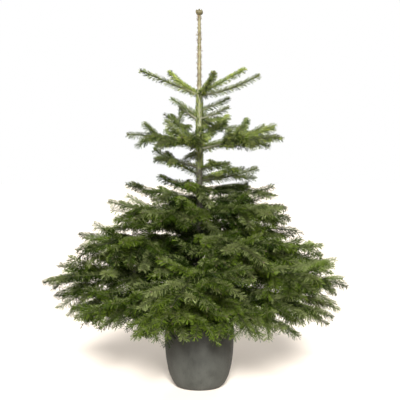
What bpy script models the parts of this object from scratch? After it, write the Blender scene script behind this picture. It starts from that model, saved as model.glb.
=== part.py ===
"""A fir tree growing in a round grey pot, 1.66 m from the floor to the bud on its leader.

Metres, +Z up. The origin is the middle of the pot's flat underside. Seen from the front, along +Y,
azimuth 0 is to the right and azimuths run counter-clockwise as seen from above.

The trunk stands on the soil and runs whole to its tip. Whorls of branches leave it, each branch on a
smooth line of its own. On the widest whorl the inner part of that line is a bare bough, and on the
others the foliage starts at the trunk. A branch's foliage is one solid: a toothed blade along the
branch's line, with side blades fused to it. A blade is a slim core with teeth standing out of it to
the right, up and to the left, and each tooth stands for a spray of needles.
"""

import functools
import math
import random
from typing import NamedTuple

import bmesh
import bpy
from mathutils import Vector
from mathutils.bvhtree import BVHTree

# Pot and soil
POT_HEIGHT = 0.272
POT_RIM_RADIUS = 0.153
POT_BASE_RADIUS = 0.081
POT_WALL = 0.009
POT_FLOOR = 0.012
POT_BELLY = (2.8, 0.5)
POT_SIDES = 28
POT_OUTER_STEPS = 8
POT_INNER_STEPS = 3
SOIL_BELOW_RIM = 0.026
SOIL_CLEARANCE = 0.0005

# Trunk
TREE_TOP = 1.662
TRUNK_SIDES = 12
TRUNK_FOOT_RADIUS = 0.0205
LEADER_RADIUS = 0.0065
TRUNK_TAPER = 0.8
ROOT_FLARE = 0.013
ROOT_FLARE_HEIGHT = 0.03
WHORL_SWELLING = 0.0022
WHORL_SWELLING_HEIGHT = 0.014
BUD_RADIUS = 0.0115
BUD_HEIGHT = 0.024

# Limbs
LIMB_SHARE_OF_TRUNK = 0.36
LIMB_TIP_RADIUS = 0.0016
LIMB_BEND = 7  # degrees
BOUGH_SIDES = 6
BOUGH_RINGS = 4
CLEARANCE = 0.0003
TRUNK_SEAT = 0.00035
SEAT_SAMPLES = 8

# Blades, with the sizes of a tooth of life size
TOOTH_OUT = 0.024
TOOTH_FORWARD = 0.024
TOOTH_DROOP = 0.017
TOOTH_RISE = 0.021
TOOTH_PITCH = 0.046
TOOTH_TAPER = 0.4
TOOTH_UNEVENNESS = 0.15
FEWEST_TEETH = 2
CORE_BREADTH = 1.2
PLAIN_ROOT = 0.016
PLAIN_TIP = 0.35  # of the room of one tooth

# Side blades
SIDE_ANGLE = 54  # degrees
SIDE_ANGLE_UNEVENNESS = 7
SIDE_SLOPE_UNEVENNESS = 0.06
SIDE_PLACE_UNEVENNESS = 0.02
SIDE_LENGTHS = (0.9, 1.08)
SIDE_CURL = 0.7  # to the front, for each metre of the way
SIDE_SHARE_OF_PARENT = 0.75
FIRST_SIDE = 0.2
LAST_SIDE = 0.92
ROOM_BEHIND_FIRST_SIDE = 0.07
SHORTEST_SIDE = 0.055
ROOM_BETWEEN_BLADES = 0.0015
SHORTENING = 0.82
SHORTENING_TRIES = 5
SEED = 7

SHARP_ANGLE = 35  # degrees
SOIL_TOP = POT_HEIGHT - SOIL_BELOW_RIM
TRUNK_FOOT = SOIL_TOP + CLEARANCE
UP = Vector((0, 0, 1))


class Sweep(NamedTuple):
    """The way of one branch out of the trunk."""

    azimuth: float  # degrees
    root: float  # how far its root stands above the height of its whorl
    reach: float  # how far its tip stands from the trunk's axis
    lift: float  # how far its tip stands above its root
    arch: float  # how far it bows up above its chord, as a share of its reach


class Whorl(NamedTuple):
    """Branches that leave the trunk at about one height."""

    name: str
    height: float
    branches: tuple
    tuft: float  # the size of the teeth of its blades, of which a tuft of life size has 1
    bough: float = 0.0  # the share of the reach that is a bare bough
    stem: float = PLAIN_ROOT  # the length of the toothless stem of a main blade
    side_pairs: int = 0
    side_reach: float = 0.0  # the longest side blade, as a share of the reach
    side_lift: float = 0.0  # how steeply side blades rise from the branch
    side_spread: float = 0.0  # how far above or below that the left and right ones go, turn by turn


WHORLS = (
    Whorl("top", 1.286, (
        Sweep(190, 0.000, 0.265, 0.105, -0.01), Sweep(118, 0.002, 0.300, 0.130, -0.02),
        Sweep(46, 0.002, 0.308, 0.138, 0.00), Sweep(338, -0.002, 0.282, 0.081, -0.06),
        Sweep(283, 0.000, 0.270, 0.071, 0.00)), tuft=0.9),
    Whorl("top_spur", 1.188, (
        Sweep(165, 0.003, 0.135, 0.085, 0.02), Sweep(215, -0.017, 0.110, 0.058, 0.02),
        Sweep(14, 0.027, 0.142, 0.062, -0.01), Sweep(335, -0.007, 0.146, 0.050, -0.04),
        Sweep(52, -0.025, 0.165, 0.028, 0.00)), tuft=0.9),
    Whorl("upper", 1.054, (
        Sweep(184, -0.004, 0.320, 0.062, 0.05), Sweep(256, 0.000, 0.300, 0.035, 0.03),
        Sweep(332, -0.006, 0.386, 0.048, 0.02), Sweep(28, -0.002, 0.392, 0.095, 0.01),
        Sweep(120, 0.004, 0.265, 0.154, 0.02), Sweep(65, 0.010, 0.330, 0.150, 0.00)), tuft=1.1, side_pairs=3,
          side_reach=0.46, side_lift=0.1, side_spread=0.35),
    Whorl("middle_spur", 0.945, (
        Sweep(168, -0.008, 0.212, 0.115, -0.02), Sweep(216, 0.018, 0.235, 0.037, 0.05),
        Sweep(305, 0.012, 0.220, 0.023, 0.03), Sweep(350, -0.036, 0.261, 0.059, -0.04),
        Sweep(42, -0.028, 0.240, 0.045, -0.01), Sweep(118, 0.080, 0.145, -0.020, 0.06)), tuft=1.2,
          side_pairs=1, side_reach=0.5, side_lift=-0.05, side_spread=0.2),
    Whorl("shoulder", 0.848, (
        Sweep(180, -0.014, 0.327, 0.061, -0.03), Sweep(130, 0.006, 0.288, 0.075, -0.01),
        Sweep(48, 0.012, 0.343, 0.018, 0.02), Sweep(6, -0.027, 0.335, 0.065, -0.04),
        Sweep(262, 0.024, 0.260, 0.022, 0.01)), tuft=1.4, side_pairs=2,
          side_reach=0.48, side_lift=-0.05, side_spread=0.2),
    Whorl("middle", 0.766, (
        Sweep(192, -0.018, 0.405, 0.075, -0.03), Sweep(248, 0.004, 0.410, -0.020, 0.05),
        Sweep(328, 0.004, 0.445, -0.014, 0.04), Sweep(25, -0.006, 0.446, 0.020, 0.03),
        Sweep(108, 0.020, 0.420, 0.030, 0.03), Sweep(355, -0.060, 0.430, -0.014, 0.02)), tuft=1.7,
          side_pairs=4, side_reach=0.42, side_lift=-0.15, side_spread=0.25),
    Whorl("broad", 0.634, (
        Sweep(168, -0.014, 0.561, 0.045, 0.00), Sweep(214, 0.014, 0.600, -0.018, 0.04),
        Sweep(298, 0.010, 0.540, -0.050, 0.07), Sweep(9, -0.014, 0.565, -0.003, -0.02),
        Sweep(86, 0.010, 0.550, 0.020, 0.05)), tuft=1.8, side_pairs=4,
          side_reach=0.40, side_lift=-0.18, side_spread=0.25),
    Whorl("widest", 0.497, (
        Sweep(187, -0.010, 0.685, -0.016, 0.04), Sweep(260, 0.008, 0.620, -0.065, 0.08),
        Sweep(343, -0.008, 0.655, -0.024, 0.06), Sweep(25, 0.004, 0.672, 0.012, 0.03),
        Sweep(124, 0.012, 0.630, 0.025, 0.06)), tuft=1.9, bough=0.2,
          side_pairs=4, side_reach=0.42, side_lift=-0.18, side_spread=0.25),
    Whorl("lowest", 0.375, (
        Sweep(170, 0.006, 0.668, 0.004, 0.03), Sweep(214, -0.012, 0.603, -0.008, 0.07),
        Sweep(241, 0.014, 0.537, -0.090, 0.10), Sweep(268, -0.012, 0.450, -0.068, 0.09),
        Sweep(296, 0.014, 0.476, -0.095, 0.10), Sweep(321, -0.022, 0.524, -0.075, 0.10),
        Sweep(343, -0.002, 0.596, -0.042, 0.09), Sweep(10, 0.016, 0.648, -0.070, 0.08),
        Sweep(88, 0.004, 0.580, -0.030, 0.09)), tuft=1.7, stem=0.13, side_pairs=3, side_reach=0.43,
          side_lift=-0.12, side_spread=0.25),
)


def colour_finish(name, colour, roughness):
    """A material with one colour and one roughness."""
    material = bpy.data.materials.new(name)
    material.use_nodes = True
    shader = material.node_tree.nodes["Principled BSDF"]
    shader.inputs["Base Color"].default_value = (*colour, 1.0)
    shader.inputs["Roughness"].default_value = roughness
    shader.inputs["Metallic"].default_value = 0.0
    return material


def add_object(name, mesh, material):
    """A named object for a mesh, shaded smooth where its faces meet at a shallow angle."""
    mesh.materials.append(material)
    mesh.shade_smooth()
    mesh.set_sharp_from_angle(angle=math.radians(SHARP_ANGLE))
    obj = bpy.data.objects.new(name, mesh)
    bpy.context.scene.collection.objects.link(obj)
    return obj


def mesh_from(bm, name):
    """A mesh with its faces pointing out. It uses up the bmesh."""
    bmesh.ops.recalc_face_normals(bm, faces=bm.faces)
    mesh = bpy.data.meshes.new(name)
    bm.to_mesh(mesh)
    bm.free()
    return mesh


def pot_outer_radius(height):
    """The pot's outline: nearly upright under the rim, and rounding in fast near the base."""
    fullness, roundness = POT_BELLY
    swell = (1 - (1 - height / POT_HEIGHT) ** fullness) ** roundness
    return POT_BASE_RADIUS + (POT_RIM_RADIUS - POT_BASE_RADIUS) * swell


def pot_inner_radius(height):
    return pot_outer_radius(height) - POT_WALL


def spaced(first, last, count, crowding=1.0):
    """count + 1 values from first to last, crowded towards first where crowding is over 1."""
    return [first + (last - first) * (i / count) ** crowding for i in range(count + 1)]


def turned(name, profile, material):
    """A round solid from an outline of (radius, height) points, from its axis up the inside or the
    top and down the outside back to its axis."""
    bm = bmesh.new()
    verts = [bm.verts.new((radius, 0, height)) for radius, height in profile]
    for lower, upper in zip(verts, verts[1:]):
        bm.edges.new((lower, upper))
    mesh = bpy.data.meshes.new(name)
    bm.to_mesh(mesh)
    bm.free()
    obj = add_object(name, mesh, material)
    screw = obj.modifiers.new("Turn", "SCREW")
    screw.steps = screw.render_steps = POT_SIDES
    screw.use_merge_vertices = True
    screw.merge_threshold = 0.0001
    return obj


def inner_heights():
    """Heights at which the pot's inside has its rings, the last two at the soil and under the lip."""
    return [*spaced(POT_FLOOR, SOIL_TOP, POT_INNER_STEPS, crowding=1.5), POT_HEIGHT - POT_WALL / 2]


def make_pot(material):
    """A thick-walled pot with a rounded belly, a flat underside and a soft lip."""
    inside = [(pot_inner_radius(height), height) for height in inner_heights()]
    lip_top = [(POT_RIM_RADIUS - POT_WALL * share, POT_HEIGHT) for share in (0.72, 0.28)]
    outer_heights = spaced(0.0, POT_HEIGHT - POT_WALL / 2, POT_OUTER_STEPS, crowding=1.7)
    outside = [(pot_outer_radius(height), height) for height in outer_heights]
    return turned("pot", [(0, POT_FLOOR), *inside, *lip_top, *reversed(outside), (0, 0)], material)


def make_soil(material):
    """The filling of the pot, level on top and clear of the wall and floor."""
    wall = [(pot_inner_radius(height) - SOIL_CLEARANCE, height) for height in inner_heights()[:-1]]
    wall[0] = (wall[0][0], POT_FLOOR + CLEARANCE)
    return turned("soil", [(0, SOIL_TOP), *reversed(wall), (0, POT_FLOOR + CLEARANCE)], material)


def trunk_radius(height):
    """Taper to the leader, with a flare at the foot and a swelling at each whorl."""
    share = max(height - SOIL_TOP, 0) / (TREE_TOP - SOIL_TOP)
    taper = TRUNK_FOOT_RADIUS + (LEADER_RADIUS - TRUNK_FOOT_RADIUS) * share ** TRUNK_TAPER
    flare = ROOT_FLARE * math.exp(-(height - SOIL_TOP) / ROOT_FLARE_HEIGHT)
    swelling = sum(math.exp(-((height - whorl.height) / WHORL_SWELLING_HEIGHT) ** 2) for whorl in WHORLS)
    return taper + flare + WHORL_SWELLING * swelling


def trunk_rings():
    """(height, radius) from the flat foot to the bud, with rings at the flare and round each whorl."""
    neck = TREE_TOP - BUD_HEIGHT
    heights = {TRUNK_FOOT, *(TRUNK_FOOT + ROOT_FLARE_HEIGHT * step for step in (0.4, 1.0, 2.2)), neck}
    for whorl in WHORLS:
        heights.update((whorl.height, whorl.height + 2 * WHORL_SWELLING_HEIGHT))
    rings = [(height, trunk_radius(height)) for height in sorted(heights)]
    bud = ((0.35, 1.0), (0.75, 0.85), (1.0, 0.35))
    return rings + [(neck + BUD_HEIGHT * rise, BUD_RADIUS * width) for rise, width in bud]


def ring(bm, centre, side, up, radius, corners):
    """A loop of corners round a point, in the plane of side and up. The first one is the lowest."""
    verts = []
    for i in range(corners):
        angle = math.tau * (i / corners - 0.25)
        verts.append(bm.verts.new(centre + (side * math.cos(angle) + up * math.sin(angle)) * radius))
    return verts


def skin(bm, rings):
    """Bridges neighbouring rings with bands of quads and caps both ends. Returns bands and caps."""
    bands = []
    for first, second in zip(rings, rings[1:]):
        count = len(first)
        bands.append([bm.faces.new((first[i], first[(i + 1) % count], second[(i + 1) % count], second[i]))
                      for i in range(count)])
    root_cap = bm.faces.new(list(reversed(rings[0])))
    tip_cap = bm.faces.new(rings[-1])
    return bands, root_cap, tip_cap


def make_trunk(material):
    """The whole stem, from its flat foot on the soil to the bud on the leader."""
    bm = bmesh.new()
    rings = [ring(bm, UP * height, Vector((1, 0, 0)), Vector((0, 1, 0)), radius, TRUNK_SIDES)
             for height, radius in trunk_rings()]
    skin(bm, rings)
    return add_object("trunk", mesh_from(bm, "trunk"), material)


class Line:
    """A smooth line that limbs and blades follow: at(share) is a point and heading(share) the way on."""

    def __init__(self, at):
        self.at = at

    def heading(self, share):
        step = 0.01
        return (self.at(share + step) - self.at(share - step)).normalized()

    def frame(self, share):
        """(point, heading, sideways, upwards) at that share of the line."""
        ahead = self.heading(share)
        side = ahead.cross(UP).normalized()
        return self.at(share), ahead, side, side.cross(ahead)


def branch_line(whorl, sweep, rng):
    """The line of one branch, from the trunk's axis to its tip: a bowed sweep, bent a little sideways."""
    root_height = whorl.height + sweep.root
    bend = math.radians(rng.uniform(-LIMB_BEND, LIMB_BEND))

    def at(share):
        turn = math.radians(sweep.azimuth) - bend * (1 - share * share)
        out = sweep.reach * share
        height = root_height + sweep.lift * share + 4 * sweep.arch * out * (1 - share)
        return Vector((out * math.cos(turn), out * math.sin(turn), height))

    return Line(at)


def side_line(parent, share, hand, slope, rng):
    """The line of a side shoot, a metre long: off at an angle from its parent's middle, and curling on
    forward. slope is how steeply it rises from the plane of its parent."""
    start, ahead, side, up = parent.frame(share)
    angle = math.radians(SIDE_ANGLE + rng.uniform(-SIDE_ANGLE_UNEVENNESS, SIDE_ANGLE_UNEVENNESS))
    away = (ahead * math.cos(angle) + side * (hand * math.sin(angle)) + up * slope).normalized()
    curl = (ahead - away / 2) * SIDE_CURL
    return Line(lambda along: start + away * along + curl * (along * along))


def seat_root(bm, rim, cap, away, surface):
    """Lays a limb's root against a surface: its rim and the middle of its cap follow the surface, and
    then the whole root moves out along the limb until every part of the cap is clear."""
    root = [*rim, bmesh.ops.poke(bm, faces=[cap])["verts"][0]]

    def height_over_surface(point):
        hit = surface.ray_cast(point + away, -away)[0]
        if hit is None:
            raise ValueError("a limb's root is wider than the trunk")
        return (point - hit).dot(away)

    for vert in root:
        vert.co -= away * height_over_surface(vert.co)
    hub = root[-1].co
    lowest = 0.0
    for first, second in zip(rim, rim[1:] + rim[:1]):
        for i in range(1, SEAT_SAMPLES + 1):
            for j in range(SEAT_SAMPLES + 1 - i):
                point = hub + (first.co - hub) * (i / SEAT_SAMPLES) + (second.co - hub) * (j / SEAT_SAMPLES)
                lowest = min(lowest, height_over_surface(point))
    for vert in root:
        vert.co += away * (TRUNK_SEAT - lowest)


def make_bough(name, line, first_radius, last_radius, share, trunk_surface, material):
    """The bare inner part of a branch: one tapering limb, seated on the trunk."""
    bm = bmesh.new()
    start = 2 * first_radius / (line.at(1) - line.at(0)).length
    rings = []
    for step in spaced(0, 1, BOUGH_RINGS - 1):
        point, _, side, up = line.frame(start + (share - start) * step)
        radius = first_radius + (last_radius - first_radius) * step
        rings.append(ring(bm, point, side, up, radius, BOUGH_SIDES))
    _, root_cap, _ = skin(bm, rings)
    seat_root(bm, rings[0], root_cap, line.heading(start), trunk_surface)
    return add_object(name, mesh_from(bm, name), material)


def blade(line, first, last, root_radius, tuft, seed, room=0.0, trunk_surface=None, stem=PLAIN_ROOT):
    """A toothed blade along part of a line, as a bmesh. Its core has three sides, and one tooth stands
    out of each between two stations: to the right, up and to the left. stem is the length at its root
    that has no teeth. room swells the blade, for a test of what it nears."""
    rng = random.Random(seed)
    shares = spaced(first, last, 8)
    length = sum((line.at(here) - line.at(there)).length for here, there in zip(shares, shares[1:]))
    teeth = max(FEWEST_TEETH, round((length - stem) / (TOOTH_PITCH * tuft)))
    stations = [0.0, *spaced(stem / length, 1.0 - PLAIN_TIP / teeth, teeth)]
    bm = bmesh.new()
    rings = []
    for step in stations:
        point, _, side, up = line.frame(first + (last - first) * step)
        radius = root_radius + (LIMB_TIP_RADIUS - root_radius) * step + room
        rings.append(ring(bm, point, side, up, radius * CORE_BREADTH, 3))
    bands, root_cap, tip_cap = skin(bm, rings)
    if trunk_surface:
        seat_root(bm, rings[0], root_cap, line.heading(first), trunk_surface)
    for step, band in zip(stations[1:], bands[1:]):
        _, ahead, side, up = line.frame(first + (last - first) * step)
        right = side * TOOTH_OUT - up * TOOTH_DROOP
        left = side * -TOOTH_OUT - up * TOOTH_DROOP
        for face, way in zip(band, (right, up * TOOTH_RISE, left)):
            size = tuft * (1 - TOOTH_TAPER * step) * (1 + rng.uniform(-TOOTH_UNEVENNESS, TOOTH_UNEVENNESS))
            point = bmesh.ops.poke(bm, faces=[face])["verts"][0]
            point.co += (way + ahead * TOOTH_FORWARD) * size + way.normalized() * room
    tip = bmesh.ops.poke(bm, faces=[tip_cap])["verts"][0]
    tip.co = line.at(last) + line.heading(last) * room
    bmesh.ops.recalc_face_normals(bm, faces=bm.faces)
    return bm


def outer_shell(mesh):
    """Keeps the largest closed piece of a mesh, so that a sealed hollow is filled and a scrap dropped."""
    bm = bmesh.new()
    bm.from_mesh(mesh)
    unseen = set(bm.verts)
    pieces = []
    while unseen:
        front = [unseen.pop()]
        piece = set(front)
        while front:
            for edge in front.pop().link_edges:
                for vert in edge.verts:
                    if vert in unseen:
                        unseen.remove(vert)
                        piece.add(vert)
                        front.append(vert)
        pieces.append(piece)
    largest = max(pieces, key=len)
    bmesh.ops.delete(bm, geom=[vert for vert in bm.verts if vert not in largest], context="VERTS")
    bm.to_mesh(mesh)
    bm.free()


def fused(name, blades, material):
    """One solid from a branch's main blade and its side blades, by one union on their collection."""
    obj = add_object(name, mesh_from(blades[0], name), material)
    if len(blades) == 1:
        return obj
    sides = bpy.data.collections.new(name + "_sides")
    bpy.context.scene.collection.children.link(sides)
    for number, side in enumerate(blades[1:]):
        sides.objects.link(bpy.data.objects.new(f"{name}_side_{number}", mesh_from(side, name)))
    union = obj.modifiers.new("Join", "BOOLEAN")
    union.operation = "UNION"
    union.operand_type = "COLLECTION"
    union.collection = sides
    union.solver = "EXACT"
    graph = bpy.context.evaluated_depsgraph_get()
    joined = bpy.data.meshes.new_from_object(obj.evaluated_get(graph))
    obj.modifiers.remove(union)
    obj.data = joined
    for side in list(sides.objects):
        bpy.data.objects.remove(side)
    bpy.data.collections.remove(sides)
    outer_shell(joined)
    return obj


class Branch:
    """One branch while its foliage is being laid out."""

    def __init__(self, whorl, index, number):
        rng = random.Random(SEED * 1000 + number)
        sweep = whorl.branches[index]
        self.name = f"{whorl.name}_{index + 1}"
        self.whorl = whorl
        self.rng = rng
        self.line = branch_line(whorl, sweep, rng)
        self.reach = sweep.reach
        self.root_radius = LIMB_SHARE_OF_TRUNK * trunk_radius(whorl.height)
        self.seed = number * 100
        self.blades = []
        self.shapes = []

    def radius_at(self, share):
        return self.root_radius + (LIMB_TIP_RADIUS - self.root_radius) * share

    def keep(self, candidate, swollen):
        self.blades.append(candidate)
        self.shapes.append(BVHTree.FromBMesh(swollen))
        swollen.free()


def lay_main_blade(branch, trunk_surface):
    """The blade along the branch's own line, from the bough's tip or the trunk."""
    bough, tuft = branch.whorl.bough, branch.whorl.tuft
    seat = None if bough else trunk_surface
    first = bough + CLEARANCE / branch.reach if bough else 2 * branch.root_radius / branch.reach
    radius = branch.radius_at(bough)
    build = functools.partial(blade, branch.line, first, 1.0, radius, tuft, branch.seed,
                              stem=branch.whorl.stem)
    branch.keep(build(trunk_surface=seat), build(room=ROOM_BETWEEN_BLADES))


def side_place(whorl, rank):
    """(share along the branch, share of the longest side blade) for one pair, from the trunk out."""
    first = max(whorl.bough + ROOM_BEHIND_FIRST_SIDE, FIRST_SIDE)
    share = first + (LAST_SIDE - first) * (rank + 0.5) / whorl.side_pairs
    return share, min(1.0, 2.2 * share, 1.9 * (1.05 - share))


def lay_side_blade(branch, rank, hand, others):
    """A side blade, shortened until it keeps clear of the other branches, or left out."""
    whorl, rng = branch.whorl, branch.rng
    share, fullness = side_place(whorl, rank)
    share += rng.uniform(-SIDE_PLACE_UNEVENNESS, SIDE_PLACE_UNEVENNESS)
    length = whorl.side_reach * branch.reach * fullness * rng.uniform(*SIDE_LENGTHS)
    slope = whorl.side_lift + whorl.side_spread * hand * (-1) ** rank
    slope += rng.uniform(-SIDE_SLOPE_UNEVENNESS, SIDE_SLOPE_UNEVENNESS)
    line = side_line(branch.line, share, hand, slope, rng)
    radius = branch.radius_at(share) * SIDE_SHARE_OF_PARENT
    seed = branch.seed + 10 * rank + hand + 1
    for _ in range(SHORTENING_TRIES):
        if length < SHORTEST_SIDE:
            return
        swollen = blade(line, 0.0, length, radius, whorl.tuft, seed, ROOM_BETWEEN_BLADES)
        surface = BVHTree.FromBMesh(swollen)
        if not any(surface.overlap(other) for other in others):
            branch.keep(blade(line, 0.0, length, radius, whorl.tuft, seed), swollen)
            return
        swollen.free()
        length *= SHORTENING


def make_tree(bark, needles, pot):
    """Trunk, boughs and foliage. All main blades come first, then side blades from the trunk out."""
    graph = bpy.context.evaluated_depsgraph_get()
    trunk = make_trunk(bark)
    graph.update()
    trunk_surface = BVHTree.FromObject(trunk, graph)
    solids = [trunk_surface, BVHTree.FromObject(pot, graph)]
    branches = []
    for whorl in WHORLS:
        for index in range(len(whorl.branches)):
            branches.append(Branch(whorl, index, len(branches)))
    for branch in branches:
        if branch.whorl.bough:
            bough = make_bough(branch.name + "_bough", branch.line, branch.root_radius,
                               branch.radius_at(branch.whorl.bough), branch.whorl.bough, trunk_surface, bark)
            graph.update()
            solids.append(BVHTree.FromObject(bough, graph))
        lay_main_blade(branch, trunk_surface)
    for rank in range(max(whorl.side_pairs for whorl in WHORLS)):
        for branch in branches:
            if rank < branch.whorl.side_pairs:
                for hand in (-1, 1):
                    others = [shape for other in branches if other is not branch for shape in other.shapes]
                    lay_side_blade(branch, rank, hand, solids + others)
    for branch in branches:
        fused(branch.name + "_foliage", branch.blades, needles)


def main():
    for obj in list(bpy.data.objects):
        bpy.data.objects.remove(obj)
    pot = make_pot(colour_finish("fibre clay", (0.095, 0.095, 0.085), 0.6))
    make_soil(colour_finish("soil", (0.035, 0.024, 0.016), 0.95))
    bark = colour_finish("bark", (0.16, 0.13, 0.09), 0.85)
    needles = colour_finish("needles", (0.055, 0.10, 0.03), 0.5)
    make_tree(bark, needles, pot)


main()
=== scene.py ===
"""The looks of a fir in a round clay pot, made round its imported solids.

Metres, +Z up, in the frame of the part: the origin is the middle of the pot's underside. Seen from the
front, along +Y, azimuth 0 is to the right and azimuths run counter-clockwise as seen from above.

The crown follows the rule of the part's source, with the same seeds. Each branch is a line out of the
trunk with side shoots in pairs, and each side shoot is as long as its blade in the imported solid. This
file carries the rule on to shoots between the pairs and to twigs on the side shoots. All of them bear
needles, in a few plain shades dealt out by spray.
"""

import functools
import itertools
import math
import random
from typing import NamedTuple

import bpy
import numpy as np
from bpy.props import FloatProperty, FloatVectorProperty, IntProperty, PointerProperty
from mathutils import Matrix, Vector, noise
from mathutils.kdtree import KDTree


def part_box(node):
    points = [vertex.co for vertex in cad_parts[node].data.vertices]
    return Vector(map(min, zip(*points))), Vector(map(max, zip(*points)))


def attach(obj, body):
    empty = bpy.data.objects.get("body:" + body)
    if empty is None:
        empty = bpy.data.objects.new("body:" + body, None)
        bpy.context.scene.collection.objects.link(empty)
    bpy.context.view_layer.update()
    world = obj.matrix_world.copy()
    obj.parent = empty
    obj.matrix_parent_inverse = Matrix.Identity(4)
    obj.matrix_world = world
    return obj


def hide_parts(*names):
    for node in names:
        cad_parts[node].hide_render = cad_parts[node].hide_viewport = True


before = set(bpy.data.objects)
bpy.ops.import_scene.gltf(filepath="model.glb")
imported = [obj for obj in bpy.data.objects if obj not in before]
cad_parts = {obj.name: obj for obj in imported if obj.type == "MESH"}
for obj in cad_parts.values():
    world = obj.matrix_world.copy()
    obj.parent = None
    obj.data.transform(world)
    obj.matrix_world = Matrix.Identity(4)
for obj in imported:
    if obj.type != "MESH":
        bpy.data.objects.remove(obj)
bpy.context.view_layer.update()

bl_info = {
    "name": "Potted fir",
    "version": (1, 0, 0),
    "blender": (4, 5, 0),
    "location": "View3D > Sidebar > Potted fir",
    "description": "Makes the pot, compost, bark, twigs, needles and buds of a potted fir",
    "category": "Object",
}

BODY = "root"
UP = np.array((0.0, 0.0, 1.0))
EAST = np.array((1.0, 0.0, 0.0))

# Pot and soil, as in the source
POT_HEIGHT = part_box("pot")[1].z
POT_RIM_RADIUS = 0.153
POT_BASE_RADIUS = 0.081
POT_WALL = 0.009
POT_BELLY = (2.8, 0.5)
SOIL_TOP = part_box("soil")[1].z

# Trunk and limbs, as in the source
TREE_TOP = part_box("trunk")[1].z
TRUNK_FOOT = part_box("trunk")[0].z
TRUNK_FOOT_RADIUS = 0.0205
LEADER_RADIUS = 0.0065
TRUNK_TAPER = 0.8
ROOT_FLARE = 0.013
ROOT_FLARE_HEIGHT = 0.03
WHORL_SWELLING = 0.0022
WHORL_SWELLING_HEIGHT = 0.014
BUD_HEIGHT = 0.024
LIMB_SHARE_OF_TRUNK = 0.36
LIMB_TIP_RADIUS = 0.0016
LIMB_BEND = 7  # degrees

# Side shoots, as in the source
SIDE_ANGLE = 54  # degrees
SIDE_ANGLE_UNEVENNESS = 7
SIDE_SLOPE_UNEVENNESS = 0.06
SIDE_PLACE_UNEVENNESS = 0.02
SIDE_LENGTHS = (0.9, 1.08)
SIDE_CURL = 0.7  # to the front, for each metre of the way
SIDE_SHARE_OF_PARENT = 0.75
FIRST_SIDE = 0.2
LAST_SIDE = 0.92
ROOM_BEHIND_FIRST_SIDE = 0.07
SIDE_SWELLING = 2.2  # how fast they grow longer from the trunk out
SIDE_FALL = 1.9  # how fast they grow shorter towards the tip
SIDE_END = 1.05
SHORTENING = 0.82
SHORTENING_TRIES = 5
TIP_MATCH = 0.0006
SEED = 7

# Twigs, which the solids leave out
TWIG_SEED = 41
FIRST_TWIG = 0.035
TWIG_SPACING = 0.115  # between two pairs
TWIG_SPACINGS = (0.85, 1.15)  # shares of it, from pair to pair
TWIG_PLACE_UNEVENNESS = 0.12  # a share of it
LEADING_SHOOT = 0.155  # the end of a shoot that has no twigs of its own
TWIG_REACH = 0.95  # of what is left of its parent beyond its root
TWIG_LENGTHS = (0.7, 1.1)  # shares of that reach
LONGEST_TWIG = 0.23
SHORTEST_TWIG = 0.095
TWIG_ANGLE = (28, 38)  # degrees
TWIG_SLOPE = 0.12
TWIG_ROOT_RADIUS = 0.0015
TWIG_TIP_RADIUS = 0.0011
BETWEEN_RANKS = 1.7  # for each pair of side shoots
BETWEEN_LENGTHS = (0.55, 0.95)  # of the side shoots beside them
FIRST_BETWEEN = 0.12
ROOM_BEHIND_FIRST_BETWEEN = 0.03
BETWEEN_FULLNESS = 0.25  # at the trunk
SPINE_START = 0.08
SPINE_SPACING = 0.075
SPINE_SPACINGS = (0.7, 1.3)  # shares of it
SPINE_LENGTHS = (0.09, 0.165)
SPINE_FALL = 3.0  # as for side shoots
SPINE_END = 1.02
SPINE_ANGLES = (20, 50)  # degrees
SPINE_SLOPES = (0.4, 0.9)
SPINE_RISE = 0.8
STEP = 0.022  # between two points of a shoot
NEEDLES_BEYOND_TIP = 0.010
SPRAY_UNITY = 0.6  # the share of twigs that take the shade of the shoot they grow on
SPRAY_ROLL = 0.2  # radians
INNER_SHADE_ENDS = (0.25, 0.6)  # how far out on its branch a shoot is still coloured as an inner one, dark partly with age and partly as painted shade
PAINTED_LIGHT_EAST = (0.15, 0.65)  # painted light on the east side of the crown: from none of the shoots to all of them
GOLDEN_TURN = math.radians(137.5)


class InnerBoughs(NamedTuple):
    """Short boughs that fill the crown between the whorls, each a golden turn on from the last."""

    count: int
    heights: tuple
    reaches: tuple  # of the shortest branch of the nearest whorl
    lifts: tuple  # how steeply they leave the trunk


INNER_BOUGHS = (
    InnerBoughs(62, (0.345, 0.80), (0.35, 0.85), (0.05, 0.55)),  # all through the lower crown
    InnerBoughs(17, (0.330, 0.352), (0.50, 0.80), (0.04, 0.18)),  # a skirt under it
    InnerBoughs(5, (0.44, 0.47), (0.70, 0.90), (0.05, 0.20)),  # a belt over the lowest whorl
)
INNER_CROWDING = 1.35  # 1 spreads them evenly over their heights, and more crowds them lower down
INNER_RADIUS = 0.0026
INNER_SAG = 0.35
INNER_TWIGS = (0.2, 0.95)  # between these shares of its length a bough bears twigs
INNER_TWIG_END = 1.1

# Joined pieces
MOST_TRIANGLES = 200_000


class Sweep(NamedTuple):
    """The way of one branch out of the trunk."""

    azimuth: float  # degrees
    root: float  # how far its root stands above the height of its whorl
    reach: float  # how far its tip stands from the trunk's axis
    lift: float  # how far its tip stands above its root
    arch: float  # how far it bows up above its chord, as a share of its reach


class Whorl(NamedTuple):
    """Branches that leave the trunk at about one height."""

    name: str
    height: float
    branches: tuple
    bough: float = 0.0  # the share of the reach that is a bare bough
    side_pairs: int = 0
    side_reach: float = 0.0  # the longest side shoot, as a share of the reach
    side_lift: float = 0.0  # how steeply side shoots rise from the branch
    side_spread: float = 0.0  # how far above or below that the left and right ones go, turn by turn
    tier: str = "low"
    habit: str = "comb"
    loose: tuple = (-0.75, 0.15)  # slopes of the shoots between the pairs
    fullness: float = 1.0  # the share of the shoots between the pairs that grow
    twigs: float = 1.0  # the share of the twigs that grow


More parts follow.
